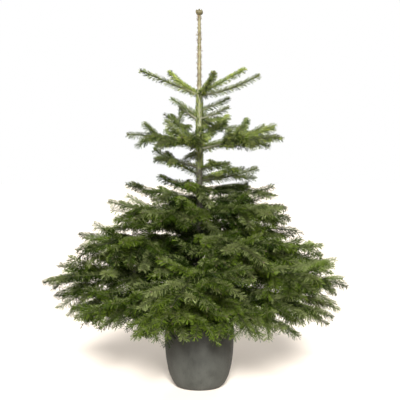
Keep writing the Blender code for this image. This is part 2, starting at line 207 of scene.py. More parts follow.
WHORLS = (
    Whorl("top", 1.286, (
        Sweep(190, 0.000, 0.265, 0.105, -0.01), Sweep(118, 0.002, 0.300, 0.130, -0.02),
        Sweep(46, 0.002, 0.308, 0.138, 0.00), Sweep(338, -0.002, 0.282, 0.081, -0.06),
        Sweep(283, 0.000, 0.270, 0.071, 0.00)),
        tier="top", habit="brush"),
    Whorl("top_spur", 1.188, (
        Sweep(165, 0.003, 0.135, 0.085, 0.02), Sweep(215, -0.017, 0.110, 0.058, 0.02),
        Sweep(14, 0.027, 0.142, 0.062, -0.01), Sweep(335, -0.007, 0.146, 0.050, -0.04),
        Sweep(52, -0.025, 0.165, 0.028, 0.00)),
        tier="top", habit="brush"),
    Whorl("upper", 1.054, (
        Sweep(184, -0.004, 0.320, 0.062, 0.05), Sweep(256, 0.000, 0.300, 0.035, 0.03),
        Sweep(332, -0.006, 0.386, 0.048, 0.02), Sweep(28, -0.002, 0.392, 0.095, 0.01),
        Sweep(120, 0.004, 0.265, 0.154, 0.02), Sweep(65, 0.010, 0.330, 0.150, 0.00)),
        side_pairs=3, side_reach=0.46, side_lift=0.1, side_spread=0.35, tier="top", habit="young",
        loose=(-0.5, 0.4), fullness=0.5, twigs=0.25),
    Whorl("middle_spur", 0.945, (
        Sweep(168, -0.008, 0.212, 0.115, -0.02), Sweep(216, 0.018, 0.235, 0.037, 0.05),
        Sweep(305, 0.012, 0.220, 0.023, 0.03), Sweep(350, -0.036, 0.261, 0.059, -0.04),
        Sweep(42, -0.028, 0.240, 0.045, -0.01), Sweep(118, 0.080, 0.145, -0.020, 0.06)),
        side_pairs=1, side_reach=0.5, side_lift=-0.05, side_spread=0.2, tier="top", habit="young",
        fullness=0.0, twigs=0.0),
    Whorl("shoulder", 0.848, (
        Sweep(180, -0.014, 0.327, 0.061, -0.03), Sweep(130, 0.006, 0.288, 0.075, -0.01),
        Sweep(48, 0.012, 0.343, 0.018, 0.02), Sweep(6, -0.027, 0.335, 0.065, -0.04),
        Sweep(262, 0.024, 0.260, 0.022, 0.01)),
        side_pairs=2, side_reach=0.48, side_lift=-0.05, side_spread=0.2, tier="middle", fullness=0.3,
        twigs=0.6),
    Whorl("middle", 0.766, (
        Sweep(192, -0.018, 0.405, 0.075, -0.03), Sweep(248, 0.004, 0.410, -0.020, 0.05),
        Sweep(328, 0.004, 0.445, -0.014, 0.04), Sweep(25, -0.006, 0.446, 0.020, 0.03),
        Sweep(108, 0.020, 0.420, 0.030, 0.03), Sweep(355, -0.060, 0.430, -0.014, 0.02)),
        side_pairs=4, side_reach=0.42, side_lift=-0.15, side_spread=0.25, tier="middle"),
    Whorl("broad", 0.634, (
        Sweep(168, -0.014, 0.561, 0.045, 0.00), Sweep(214, 0.014, 0.600, -0.018, 0.04),
        Sweep(298, 0.010, 0.540, -0.050, 0.07), Sweep(9, -0.014, 0.565, -0.003, -0.02),
        Sweep(86, 0.010, 0.550, 0.020, 0.05)),
        side_pairs=4, side_reach=0.40, side_lift=-0.18, side_spread=0.25, tier="broad"),
    Whorl("widest", 0.497, (
        Sweep(187, -0.010, 0.685, -0.016, 0.04), Sweep(260, 0.008, 0.620, -0.065, 0.08),
        Sweep(343, -0.008, 0.655, -0.024, 0.06), Sweep(25, 0.004, 0.672, 0.012, 0.03),
        Sweep(124, 0.012, 0.630, 0.025, 0.06)),
        bough=0.2, side_pairs=4, side_reach=0.42, side_lift=-0.18, side_spread=0.25, tier="wide",
        loose=(-0.5, 0.85)),
    Whorl("lowest", 0.375, (
        Sweep(170, 0.006, 0.668, 0.004, 0.03), Sweep(214, -0.012, 0.603, -0.008, 0.07),
        Sweep(241, 0.014, 0.537, -0.090, 0.10), Sweep(268, -0.012, 0.450, -0.068, 0.09),
        Sweep(296, 0.014, 0.476, -0.095, 0.10), Sweep(321, -0.022, 0.524, -0.075, 0.10),
        Sweep(343, -0.002, 0.596, -0.042, 0.09), Sweep(10, 0.016, 0.648, -0.070, 0.08),
        Sweep(88, 0.004, 0.580, -0.030, 0.09)),
        side_pairs=3, side_reach=0.43, side_lift=-0.12, side_spread=0.25, tier="low",
        loose=(-0.9, 0.15)),
)
TIERS = ("top", "middle", "broad", "wide", "low")


class Habit(NamedTuple):
    """How needles stand round a shoot: three values are those on its top, at its sides and under it."""

    leans: tuple  # from the shoot's heading, in degrees
    sizes: tuple  # shares of the full length
    widest: float  # how far round from the top of the shoot they stand, in degrees
    droop: float  # how strongly they hang
    crowding: float  # how many there are, as a share of the usual number
    unevenness: float = 5  # of the leans, in degrees


HABITS = {
    "comb": Habit((44, 60, 70), (0.66, 1.00, 0.92), 158, 0.12, 1.2),
    "young": Habit((42, 56, 64), (0.64, 0.84, 0.84), 170, 0.06, 1.3, 7),
    "brush": Habit((38, 50, 58), (0.60, 0.74, 0.80), 180, 0.0, 1.15, 12),
    "stem": Habit((24, 28, 24), (0.66, 0.74, 0.66), 180, 0.0, 2.2),
    "old stem": Habit((40, 48, 40), (0.60, 0.74, 0.60), 180, 0.0, 1.5, 14),
    "inner": Habit((44, 60, 70), (0.66, 1.00, 0.92), 158, 0.12, 0.85),
    "leader": Habit((42, 56, 48), (0.30, 0.42, 0.36), 180, 0.0, 1.3, 22),
}
HUGGING_NEEDLES = (0.955, 1.286)  # heights between which they clothe the stem
OLD_STEM_NEEDLES = (0.800, 0.955)
LEADER_NEEDLES = (1.320, 1.620)
LEADER_TUFTS = (0.004, 0.026)
LEADER_GAPS = (0.002, 0.016)
STEM_POINTS = 24  # along each of these parts of the stem
LOWEST_FOLIAGE = min(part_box(name)[0].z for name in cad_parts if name.endswith("_foliage"))


# Sizes and colours that a user would change

class PotLooks(bpy.types.PropertyGroup):
    """Looks of the pot."""

    clay: FloatVectorProperty(name="Clay", description="Colour of the bare clay", subtype="COLOR",
                              default=(0.035, 0.0362, 0.0304), min=0, max=1)
    bloom: FloatVectorProperty(name="Bloom", description="Colour of the pale dusty patches",
                               subtype="COLOR", default=(0.0645, 0.0655, 0.0565), min=0, max=1)
    unevenness: FloatProperty(name="Unevenness", description="How far the hand-made wall wanders",
                              default=0.0004, unit="LENGTH", precision=4)


class SoilLooks(bpy.types.PropertyGroup):
    """Looks of the compost."""

    damp_and_shade: FloatVectorProperty(name="Damp", description="Colour of the damp compost", subtype="COLOR",
                              default=(0.022, 0.014, 0.009), min=0, max=1)
    dry: FloatVectorProperty(name="Dry", description="Colour of the dry crumbs", subtype="COLOR",
                             default=(0.085, 0.055, 0.034), min=0, max=1)
    crumbs: IntProperty(name="Crumbs", description="How many loose crumbs lie on top", default=620, min=0)
    crumb_size: FloatProperty(name="Crumb size", description="Radius of an average crumb",
                              default=0.0024, unit="LENGTH", precision=4)


class BarkLooks(bpy.types.PropertyGroup):
    """Looks of the trunk and limbs."""

    old: FloatVectorProperty(name="Old bark", description="Colour of the lower trunk and limbs",
                             subtype="COLOR", default=(0.034, 0.028, 0.020), min=0, max=1)
    young: FloatVectorProperty(name="Young bark", description="Colour of the upper trunk",
                               subtype="COLOR", default=(0.360, 0.350, 0.250), min=0, max=1)
    outer: FloatVectorProperty(name="Outer bark", description="Colour of the outer parts of the limbs",
                               subtype="COLOR", default=(0.030, 0.034, 0.011), min=0, max=1)
    leader: FloatVectorProperty(name="Leader", description="Colour of the topmost shoot",
                                subtype="COLOR", default=(0.200, 0.178, 0.090), min=0, max=1)
    relief: FloatProperty(name="Relief", description="Depth of the bark's relief",
                          default=0.0011, unit="LENGTH", precision=4)


class NeedleLooks(bpy.types.PropertyGroup):
    """Sizes of the needles and buds."""

    length: FloatProperty(name="Length", description="Length of a needle at the side of a shoot",
                          default=0.028, unit="LENGTH", precision=4)
    breadth: FloatProperty(name="Breadth", description="Breadth of a needle", default=0.0025,
                           unit="LENGTH", precision=4)
    per_metre: IntProperty(name="Per metre", description="How many needles a metre of shoot bears",
                           default=1565, min=100)
    bud: FloatProperty(name="Bud", description="Length of a bud at the tip of a shoot", default=0.0075,
                       unit="LENGTH", precision=4)


class StageLooks(bpy.types.PropertyGroup):
    """Floor and light."""

    floor: FloatVectorProperty(name="Floor", description="Colour of the floor", subtype="COLOR",
                               default=(0.885, 0.795, 0.70), min=0, max=1)
    horizon: FloatProperty(name="Horizon", description="Strength of the even light from the sides",
                           default=0.24, min=0)
    zenith: FloatProperty(name="Zenith", description="Strength of the even light from above",
                          default=0.70, min=0)
    key: FloatProperty(name="Key light", description="Strength of the large soft light", default=9.2,
                       min=0)
    rear: FloatProperty(name="Rear light", description="Strength of the soft light from behind",
                        default=3.6, min=0)
    softness: FloatProperty(name="Softness", description="How wide the key light looks from the tree",
                            default=math.radians(14), subtype="ANGLE")


# Shades of needle, each a plain colour and roughness
SHADES = {
    # deep: dark needles, partly older ones and partly painted shade deep in the crown and under shoots
    "deep": ((0.008, 0.017, 0.001), 0.50),
    "green": ((0.027, 0.047, 0.003), 0.50),
    "bright": ((0.074, 0.112, 0.010), 0.50),
    "yellow": ((0.215, 0.250, 0.055), 0.52),
    "grey": ((0.140, 0.165, 0.060), 0.55),
    "straw": ((0.200, 0.150, 0.075), 0.60),
    "rust": ((0.100, 0.052, 0.028), 0.60),
}


class Colouring(NamedTuple):
    """How the shades are dealt out in one part of the crown."""

    mixing: float  # the share of needles that take a shade of their own
    weights: dict  # of each shade, for a shoot or a needle
    above: tuple = ("grey", 0.32)  # the shade of some needles on top of a shoot, and their share; a pale one there is a painted highlight
    below: tuple = ("deep", 0.35)  # the same for those under it; a dark one there is painted shade


COLOURINGS = {
    # inner shoots are dark, partly for older needles and partly as painted shade deep in the crown
    "inner": Colouring(0.2, dict(deep=0.72, green=0.26, grey=0.02)),
    "top": Colouring(1.0, dict(deep=0.20, green=0.14, bright=0.14, yellow=0.26, grey=0.26),
                     ("yellow", 0.25), ("deep", 0.15)),
    "upper": Colouring(0.7, dict(deep=0.16, green=0.18, bright=0.20, yellow=0.14, grey=0.32)),
    "middle": Colouring(0.3, dict(deep=0.20, green=0.30, bright=0.20, grey=0.30)),
    "broad": Colouring(0.35, dict(deep=0.22, green=0.26, bright=0.27, grey=0.25)),
    "wide": Colouring(0.35, dict(deep=0.20, green=0.22, bright=0.33, grey=0.25)),
    "low": Colouring(0.35, dict(deep=0.12, green=0.28, bright=0.50, grey=0.10)),
    # pale shoots on the east side of the crown: painted light
    "pale": Colouring(0.45, dict(deep=0.08, green=0.16, bright=0.18, grey=0.58), ("grey", 0.5)),
    "stem": Colouring(1.0, dict(deep=0.13, green=0.05, bright=0.05, yellow=0.29, grey=0.48),
                      ("grey", 0.2), ("deep", 0.1)),
    "old stem": Colouring(1.0, dict(deep=0.45, green=0.30, grey=0.25), ("deep", 0.2), ("deep", 0.2)),
    "leader": Colouring(1.0, dict(straw=0.45, rust=0.3, bright=0.25), ("straw", 0.2), ("rust", 0.2)),
}


# Lines of the source's rule

def unit(vectors):
    """The same vectors with a length of 1."""
    return vectors / np.linalg.norm(vectors, axis=-1, keepdims=True)


class Line:
    """A smooth line that a shoot follows. at(share) is a point, or a row of points for many shares."""

    def __init__(self, at):
        self.at = at

    def frame(self, share):
        """(point, heading, sideways, upwards) at that share of the line."""
        step = 0.01
        ahead = unit(self.at(share + step) - self.at(share - step))
        side = unit(np.cross(ahead, UP))
        return self.at(share), ahead, side, np.cross(side, ahead)


def branch_line(whorl, sweep, rng):
    """The line of one branch, from the trunk's axis to its tip: a bowed sweep, bent a little sideways."""
    root_height = whorl.height + sweep.root
    bend = math.radians(rng.uniform(-LIMB_BEND, LIMB_BEND))

    def at(share):
        turn = math.radians(sweep.azimuth) - bend * (1 - share * share)
        out = sweep.reach * share
        height = root_height + sweep.lift * share + 4 * sweep.arch * out * (1 - share)
        return np.stack((out * np.cos(turn), out * np.sin(turn), height), axis=-1)

    return Line(at)


def side_line(parent, share, hand, slope, angle):
    """The line of a side shoot, a metre long: off at an angle from its parent's middle, and curling on
    forward. slope is how steeply it rises from the plane of its parent."""
    start, ahead, side, up = parent.frame(share)
    turn = math.radians(angle)
    away = unit(ahead * math.cos(turn) + side * (hand * math.sin(turn)) + up * slope)
    curl = (ahead - away / 2) * SIDE_CURL
    return Line(lambda way: start + np.multiply.outer(way, away) + np.multiply.outer(way * way, curl))


def side_place(whorl, rank):
    """(share along the branch, share of the longest side shoot) for one pair, from the trunk out."""
    first = max(whorl.bough + ROOM_BEHIND_FIRST_SIDE, FIRST_SIDE)
    share = first + (LAST_SIDE - first) * (rank + 0.5) / whorl.side_pairs
    return share, min(1.0, SIDE_SWELLING * share, SIDE_FALL * (SIDE_END - share))


def trunk_radius(height):
    """Taper to the leader, with a flare at the foot and a swelling at each whorl."""
    share = max(height - SOIL_TOP, 0) / (TREE_TOP - SOIL_TOP)
    taper = TRUNK_FOOT_RADIUS + (LEADER_RADIUS - TRUNK_FOOT_RADIUS) * share ** TRUNK_TAPER
    flare = ROOT_FLARE * math.exp(-(height - SOIL_TOP) / ROOT_FLARE_HEIGHT)
    swelling = sum(math.exp(-((height - whorl.height) / WHORL_SWELLING_HEIGHT) ** 2) for whorl in WHORLS)
    return taper + flare + WHORL_SWELLING * swelling


# Shoots of the whole crown

class Shoot(NamedTuple):
    """One shoot as a row of points along its axis, from its root to its tip."""

    points: np.ndarray
    radii: tuple  # at its root and at its tip
    tier: str
    order: int  # 0 for a branch's own axis, 1 for its side shoots, 2 for shoots on or between those
    bare: float  # length without needles at its root
    habit: Habit
    colouring: Colouring
    shade: str
    roll: float = 0.0  # how far its spray of needles is rolled round its axis, in radians


def packed_length(tips, line, length):
    """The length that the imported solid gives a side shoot. The source shortened the blades that met
    another branch, so this is the first length whose tip is a corner of the solid, or None."""
    for _ in range(SHORTENING_TRIES):
        if tips.find(line.at(length))[2] < TIP_MATCH:
            return length
        length *= SHORTENING
    return None


def corners_of(node):
    """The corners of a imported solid, in a tree that finds the nearest."""
    vertices = node.data.vertices
    tree = KDTree(len(vertices))
    for number, vertex in enumerate(vertices):
        tree.insert(vertex.co, number)
    tree.balance()
    return tree


def dealt_colouring(whorl, outness, east, rng):
    """(colouring, shade) for one shoot, by where it stands in the crown. Those far to the east are often
    pale, as painted light on that side; inner ones are dark, partly with age and partly as painted shade."""
    if whorl.tier == "top":
        place = "top" if whorl.name == "top" else "upper"
    else:
        place = "inner" if outness < rng.uniform(*INNER_SHADE_ENDS) else whorl.tier
        # Painted light: shoots far to the east are often dealt the pale colouring
        if place != "inner" and rng.uniform(*PAINTED_LIGHT_EAST) < east:
            place = "pale"
    colouring = COLOURINGS[place]
    return colouring, rng.choices(list(colouring.weights), list(colouring.weights.values()))[0]


def along(line, last, length):
    """Points along a line from its root, about a step apart."""
    count = max(3, math.ceil(length / STEP))
    return line.at(np.linspace(0.0, last, count + 1))


class BranchGrower:
    """Grows all the shoots of one branch."""

    def __init__(self, whorl, index, number):
        self.whorl = whorl
        sweep = whorl.branches[index]
        self.reach = sweep.reach
        self.habit = HABITS[whorl.habit]
        self.source = random.Random(SEED * 1000 + number)
        self.line = branch_line(whorl, sweep, self.source)
        self.fine = random.Random(TWIG_SEED * 1000 + number)
        self.root_radius = LIMB_SHARE_OF_TRUNK * trunk_radius(whorl.height)
        self.tips = corners_of(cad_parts[f"{whorl.name}_{index + 1}_foliage"])
        self.shoots = []

    def radius_at(self, share):
        return self.root_radius + (LIMB_TIP_RADIUS - self.root_radius) * share

    def keep(self, points, radii, order, bare=0.0):
        out = np.linalg.norm((points[0] + points[-1])[:2]) / 2 / self.reach
        east = (points[0][0] + points[-1][0]) / 2
        colouring, shade = dealt_colouring(self.whorl, out, east, self.fine)
        if order < 2:
            self.spray = colouring, shade
        elif colouring is self.spray[0] and self.fine.random() < SPRAY_UNITY:
            shade = self.spray[1]
        roll = self.fine.uniform(-SPRAY_ROLL, SPRAY_ROLL)
        self.shoots.append(Shoot(points, radii, self.whorl.tier, order, bare, self.habit, colouring,
                                 shade, roll))

    def grow_twigs(self, parent, first, last, spacing, reach_of):
        """Twigs in pairs along a side shoot. reach_of gives a twig's reach from its place."""
        fine = self.fine
        place = first
        while place < last:
            for hand in (-1, 1):
                near = place + spacing * fine.uniform(-TWIG_PLACE_UNEVENNESS, TWIG_PLACE_UNEVENNESS)
                length = min(reach_of(near), LONGEST_TWIG) * fine.uniform(*TWIG_LENGTHS)
                slope = fine.gauss(0, TWIG_SLOPE)
                angle = fine.uniform(*TWIG_ANGLE)
                if length >= SHORTEST_TWIG and fine.random() < self.whorl.twigs:
                    self.keep_clear(side_line(parent, near, hand, slope, angle), length)
            place += spacing * fine.uniform(*TWIG_SPACINGS)

    def grow_sides(self):
        """Side shoots by the source's rule, each with its twigs."""
        whorl, rng = self.whorl, self.source
        for rank in range(whorl.side_pairs):
            for hand in (-1, 1):
                share, fullness = side_place(whorl, rank)
                share += rng.uniform(-SIDE_PLACE_UNEVENNESS, SIDE_PLACE_UNEVENNESS)
                length = whorl.side_reach * self.reach * fullness * rng.uniform(*SIDE_LENGTHS)
                slope = whorl.side_lift + whorl.side_spread * hand * (-1) ** rank
                slope += rng.uniform(-SIDE_SLOPE_UNEVENNESS, SIDE_SLOPE_UNEVENNESS)
                angle = SIDE_ANGLE + rng.uniform(-SIDE_ANGLE_UNEVENNESS, SIDE_ANGLE_UNEVENNESS)
                line = side_line(self.line, share, hand, slope, angle)
                length = packed_length(self.tips, line, length)
                if length is not None:
                    self.grow_side(line, length, share)

    def grow_between(self):
        """Side shoots between the pairs, shorter, and above or below the plane of the branch."""
        whorl, fine = self.whorl, self.fine
        first = max(whorl.bough + ROOM_BEHIND_FIRST_BETWEEN, FIRST_BETWEEN)
        last = 1 - LEADING_SHOOT / self.reach
        ranks = round(BETWEEN_RANKS * whorl.side_pairs)
        for rank in range(ranks + 1):
            share = first + (last - first) * rank / ranks
            fullness = min(1.0, BETWEEN_FULLNESS + SIDE_SWELLING * share, SIDE_FALL * (SIDE_END - share))
            for hand in (-1, 1):
                if fine.random() >= whorl.fullness:
                    continue
                length = whorl.side_reach * self.reach * fullness * fine.uniform(*BETWEEN_LENGTHS)
                slope = whorl.side_lift + fine.uniform(*whorl.loose)
                angle = SIDE_ANGLE + fine.uniform(-1, 1) * SIDE_ANGLE_UNEVENNESS
                place = share + fine.uniform(-1, 1) * SIDE_PLACE_UNEVENNESS
                self.grow_side(side_line(self.line, place, hand, slope, angle), length, place)

    def grow_spine(self):
        """Short shoots along the top and the underside of the branch."""
        whorl, fine = self.whorl, self.fine
        place = max(whorl.bough, SPINE_START)
        above = 1
        while place < 1 - LEADING_SHOOT / self.reach:
            place += SPINE_SPACING / self.reach * fine.uniform(*SPINE_SPACINGS)
            above = -above
            slope = fine.uniform(*SPINE_SLOPES) * (SPINE_RISE if above > 0 else -1)
            length = fine.uniform(*SPINE_LENGTHS) * min(1.0, SPINE_FALL * (SPINE_END - place))
            if length >= SHORTEST_TWIG and fine.random() < whorl.fullness:
                hand, angle = fine.choice((-1, 1)), fine.uniform(*SPINE_ANGLES)
                self.keep_clear(side_line(self.line, place, hand, slope, angle), length)

    def keep_clear(self, line, length):
        """Keeps a twig unless it would hang lower than the lowest foliage."""
        points = along(line, length, length)
        if points[:, 2].min() > LOWEST_FOLIAGE:
            self.keep(points, (TWIG_ROOT_RADIUS, TWIG_TIP_RADIUS), 2)

    def grow_side(self, line, length, share):
        """One side shoot with its twigs."""
        last = length - NEEDLES_BEYOND_TIP
        points = along(line, last, last)
        if length < SHORTEST_TWIG or points[:, 2].min() < LOWEST_FOLIAGE:
            return
        self.keep(points, (self.radius_at(share) * SIDE_SHARE_OF_PARENT, LIMB_TIP_RADIUS), 1)
        self.grow_twigs(line, FIRST_TWIG, length - LEADING_SHOOT, TWIG_SPACING,
                        lambda place: TWIG_REACH * (length - place))

    def grow(self):
        """The shoots of the whole branch, its own axis first."""
        bough = self.whorl.bough
        last = 1 - NEEDLES_BEYOND_TIP / self.reach
        bare = bough * self.reach if bough else 2 * self.root_radius
        self.keep(along(self.line, last, self.reach), (self.root_radius, self.radius_at(last)), 0, bare)
        if self.whorl.side_pairs:
            self.grow_sides()
            self.grow_between()
            self.grow_spine()
        return self.shoots


class InnerGrower(BranchGrower):
    """Grows one short bough out of the trunk, inside the crown. share is its place among its like."""

    def __init__(self, number, share, boughs):
        self.fine = random.Random(TWIG_SEED * 7000 + number)
        low, high = boughs.heights
        height = low + (high - low) * share ** INNER_CROWDING
        self.whorl = min(WHORLS, key=lambda whorl: abs(whorl.height - height))
        shortest = min(sweep.reach for sweep in self.whorl.branches)
        self.reach = shortest * self.fine.uniform(*boughs.reaches)
        self.habit = HABITS["inner"]
        self.shoots = []
        azimuth = number * GOLDEN_TURN
        out = np.array((math.cos(azimuth), math.sin(azimuth), 0.0))
        lift = self.fine.uniform(*boughs.lifts)

        def at(share):
            far = np.multiply.outer(share, (out + UP * lift) * self.reach)
            return UP * height + far - np.multiply.outer(share * share, UP) * self.reach * INNER_SAG

        self.line = Line(at)

    def grow(self):
        """The bough with its twigs."""
        self.keep(along(self.line, 1.0, self.reach), (INNER_RADIUS, LIMB_TIP_RADIUS), 1,
                  trunk_radius(self.whorl.height))
        self.grow_twigs(self.line, *INNER_TWIGS, TWIG_SPACING / self.reach,
                        lambda place: TWIG_REACH * (INNER_TWIG_END - place) * self.reach)
        return self.shoots


@functools.cache
def crown():
    """All the shoots of the tree."""
    shoots = []
    number = 0
    for whorl in WHORLS:
        for index in range(len(whorl.branches)):
            shoots += BranchGrower(whorl, index, number).grow()
            number += 1
    first = 0
    for boughs in INNER_BOUGHS:
        for number in range(boughs.count):
            shoots += InnerGrower(first + number, (number + 0.5) / boughs.count, boughs).grow()
        first += boughs.count
    return shoots


def stem_shoots():
    """The parts of the stem that bear needles, as shoots."""
    shoots = []
    rng = random.Random(TWIG_SEED)
    parts = [(OLD_STEM_NEEDLES, "old stem"), (HUGGING_NEEDLES, "stem")]
    height = LEADER_NEEDLES[0]
    while height < LEADER_NEEDLES[1]:
        tuft = rng.uniform(*LEADER_TUFTS)
        parts.append(((height, height + tuft), "leader"))
        height += tuft + rng.uniform(*LEADER_GAPS)
    for (low, high), place in parts:
        points = UP * np.linspace(low, high, STEM_POINTS)[:, None]
        radii = (trunk_radius(low), trunk_radius(high))
        shade = next(iter(COLOURINGS[place].weights))
        shoots.append(Shoot(points, radii, "top", 0, 0.0, HABITS[place], COLOURINGS[place], shade))
    return shoots


def foliage_nodes(tier):
    """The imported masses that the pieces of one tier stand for."""
    return [f"{whorl.name}_{i + 1}_foliage" for whorl in WHORLS if whorl.tier == tier
            for i in range(len(whorl.branches))]


# Meshes from arrays

def add_mesh(name, points, faces, material):
    """A mesh object from arrays. faces is a list of arrays, each with one kind of polygon."""
    mesh = bpy.data.meshes.new(name)
    mesh.vertices.add(len(points))
    mesh.vertices.foreach_set("co", np.ascontiguousarray(points, np.float32).ravel())
    corners = np.concatenate([kind.ravel() for kind in faces]).astype(np.int32)
    sizes = np.concatenate([np.full(len(kind), kind.shape[1], np.int32) for kind in faces])
    mesh.loops.add(len(corners))
    mesh.loops.foreach_set("vertex_index", corners)
    mesh.polygons.add(len(sizes))
    starts = np.concatenate(([0], np.cumsum(sizes)[:-1])).astype(np.int32)
    mesh.polygons.foreach_set("loop_start", starts)
    mesh.materials.append(material)
    mesh.update(calc_edges=True)
    mesh.validate()
    triangles = int((sizes - 2).sum())
    if triangles > MOST_TRIANGLES:
        raise RuntimeError(f"{name} has {triangles} triangles, over {MOST_TRIANGLES}")
    obj = bpy.data.objects.new(name, mesh)
    bpy.context.scene.collection.objects.link(obj)
    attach(obj, BODY)
    return obj


def tube_faces(rings, sides):
    """Quads between rings that lie one after another in an array, and the two end caps."""
    ring = np.arange(rings - 1)[:, None] * sides
    corner = np.arange(sides)[None, :]
    onward = (corner + 1) % sides
    quads = np.stack((ring + corner, ring + onward, ring + onward + sides, ring + corner + sides), axis=-1)
    caps = np.stack((np.arange(sides)[::-1], np.arange(sides) + (rings - 1) * sides))
    return quads.reshape(-1, 4), caps


def joined_tubes(tubes):
    """Points and faces of many closed tubes, each an array of rings."""
    points, quads, caps = [], [], []
    base = 0
    for rings in tubes:
        tube_quads, tube_caps = tube_faces(*rings.shape[:2])
        points.append(rings.reshape(-1, 3))
        quads.append(tube_quads + base)
        caps.append(tube_caps + base)
        base += rings.shape[0] * rings.shape[1]
    return np.concatenate(points), [np.concatenate(quads), np.concatenate(caps)]


def frames_of(ahead, upright=0.99):
    """(heading, sideways, upwards) for rows of headings. One more upright than that takes another side."""
    side = unit(np.cross(ahead, np.where(np.abs(ahead[:, 2:]) > upright, EAST, UP)))
    return ahead, side, np.cross(side, ahead)


def frames_along(points):
    """(heading, sideways, upwards) for each point of a row."""
    return frames_of(unit(np.gradient(points, axis=0)))


def rows_around(side, up, sides):
    """For each row of side and up, the directions all round their axis."""
    angle = np.arange(sides) * (math.tau / sides)
    return side[:, None] * np.cos(angle)[None, :, None] + up[:, None] * np.sin(angle)[None, :, None]


LIMB_GRAIN = 110  # of the relief's pattern, for each metre
LIMB_GRAIN_REACH = 0.02  # how far from a limb's axis the pattern is read
RELIEF_OF_LIMBS = 60  # a share of the radius for each metre of relief


def limb_points(shoot, sides, relief):
    """Rings of a limb, with the bark's relief where relief is over 0."""
    _, side, up = frames_along(shoot.points)
    count = len(shoot.points)
    radius = shoot.radii[0] + (shoot.radii[1] - shoot.radii[0]) * np.linspace(0, 1, count)
    around = rows_around(side, up, sides)
    depth = np.zeros((count, sides))
    if relief:
        flat = (shoot.points[:, None] + around * LIMB_GRAIN_REACH).reshape(-1, 3) * LIMB_GRAIN
        depth = np.array([noise.noise(Vector(p)) for p in flat]).reshape(count, sides) * relief
    return shoot.points[:, None] + around * (radius[:, None] * (1 + depth * RELIEF_OF_LIMBS))[..., None]


# Needles

GOLDEN_SHARE = 0.618  # of a turn, from one needle to the next
SPIRAL_UNEVENNESS = 0.07  # of a turn
PLACES_IN_ROW = (-0.5, 1.5)  # how far a needle may stand from its turn in the row
TOP_SIDE, UNDERSIDE = 0.45, -0.35  # of the cosine round a shoot, from its top, past which needles take the above and below shades, such as a painted highlight on top and painted shade underneath
TOP_HEAVINESS = 1.45  # 1 spreads the needles evenly from the top of a shoot to its underside
CROWDING_OF_ORDER = (1.35, 1.1, 0.92)  # thick axes need more needles to hide their bark
BLUNT_END = 0.016  # the end of a shoot whose needles are short and point forward
BLUNT_LEAN, BLUNT_SIZE = 0.72, 0.76  # shares of the lean and size that needles have at the very tip
NEEDLE_SIZES = (0.84, 1.10)  # shares of the full size
NEEDLE_BREADTHS = (0.85, 1.15)  # shares of the full breadth
NEEDLE_TWIST = 0.35  # radians
NEEDLE_SEAT = 0.8  # how far from the axis it is rooted, as a share of the radius
FACING_UP = 0.5  # how strongly the faces of needles turn to the light
FACING_UNEVENNESS = 0.4
FOOT_BREADTH = 0.45
TIP_BREADTH = 0.80
QUARTERS = (0, 1, 2)  # turns from the top of a shoot, to its side and to its underside


def needle_rows(shoot, looks, rng):
    """Roots, directions, facings and sizes of one shoot's needles, and how far round it they stand."""
    points, habit = shoot.points, shoot.habit
    legs = np.linalg.norm(np.diff(points, axis=0), axis=1)
    travelled = np.concatenate(([0.0], np.cumsum(legs)))
    length = travelled[-1]
    bare = min(shoot.bare, length)
    count = int((length - bare) * looks.per_metre * habit.crowding * CROWDING_OF_ORDER[shoot.order])
    if count < 1:
        return None
    order = np.arange(count)
    place = bare + (length - bare) * (order + rng.uniform(*PLACES_IN_ROW, count)) / count
    place = np.clip(place, bare, length)

    def there(rows):
        return np.stack([np.interp(place, travelled, rows[:, axis]) for axis in range(3)], axis=-1)

    ahead, side, up = frames_of(unit(there(frames_along(points)[0])))
    spiral = (order * GOLDEN_SHARE + rng.uniform(0, 1) + rng.normal(0, SPIRAL_UNEVENNESS, count)) % 1
    turned = 2 * spiral - 1
    from_top = np.sign(turned) * np.abs(turned) ** TOP_HEAVINESS * math.radians(habit.widest)
    around = from_top + shoot.roll
    turns = np.abs(from_top) / (math.pi / 2)
    lean = np.radians(np.interp(turns, QUARTERS, habit.leans) + rng.normal(0, habit.unevenness, count))
    from_tip = np.clip((length - place) / BLUNT_END, 0, 1)
    lean *= BLUNT_LEAN + (1 - BLUNT_LEAN) * from_tip
    outward = side * np.sin(around)[:, None] + up * np.cos(around)[:, None]
    direction = ahead * np.cos(lean)[:, None] + outward * np.sin(lean)[:, None]
    direction = unit(direction - UP * habit.droop)
    size = looks.length * np.interp(turns, QUARTERS, habit.sizes) * rng.uniform(*NEEDLE_SIZES, count)
    size *= BLUNT_SIZE + (1 - BLUNT_SIZE) * from_tip
    radius = shoot.radii[0] + (shoot.radii[1] - shoot.radii[0]) * place / length
    root = there(points) + outward * (radius * NEEDLE_SEAT)[:, None]
    facing = outward + up * FACING_UP + rng.normal(0, FACING_UNEVENNESS, (count, 3))
    return root, direction, facing, size, around


def needle_points(root, direction, facing, size, breadth, rng):
    """Four points for each needle: a pair at its narrow foot and a pair at its blunt tip, twisted a
    little, as real ones are."""
    across = unit(np.cross(direction, facing))
    face = np.cross(across, direction)
    half = (breadth / 2) * rng.uniform(*NEEDLE_BREADTHS, len(root))[:, None]
    twist = rng.normal(0, NEEDLE_TWIST, len(root))[:, None]
    tip = root + direction * size[:, None]
    tip_half = (across * np.cos(twist) + face * np.sin(twist)) * half * TIP_BREADTH
    foot_half = across * half * FOOT_BREADTH
    return np.stack((root - foot_half, root + foot_half, tip + tip_half, tip - tip_half), axis=1)


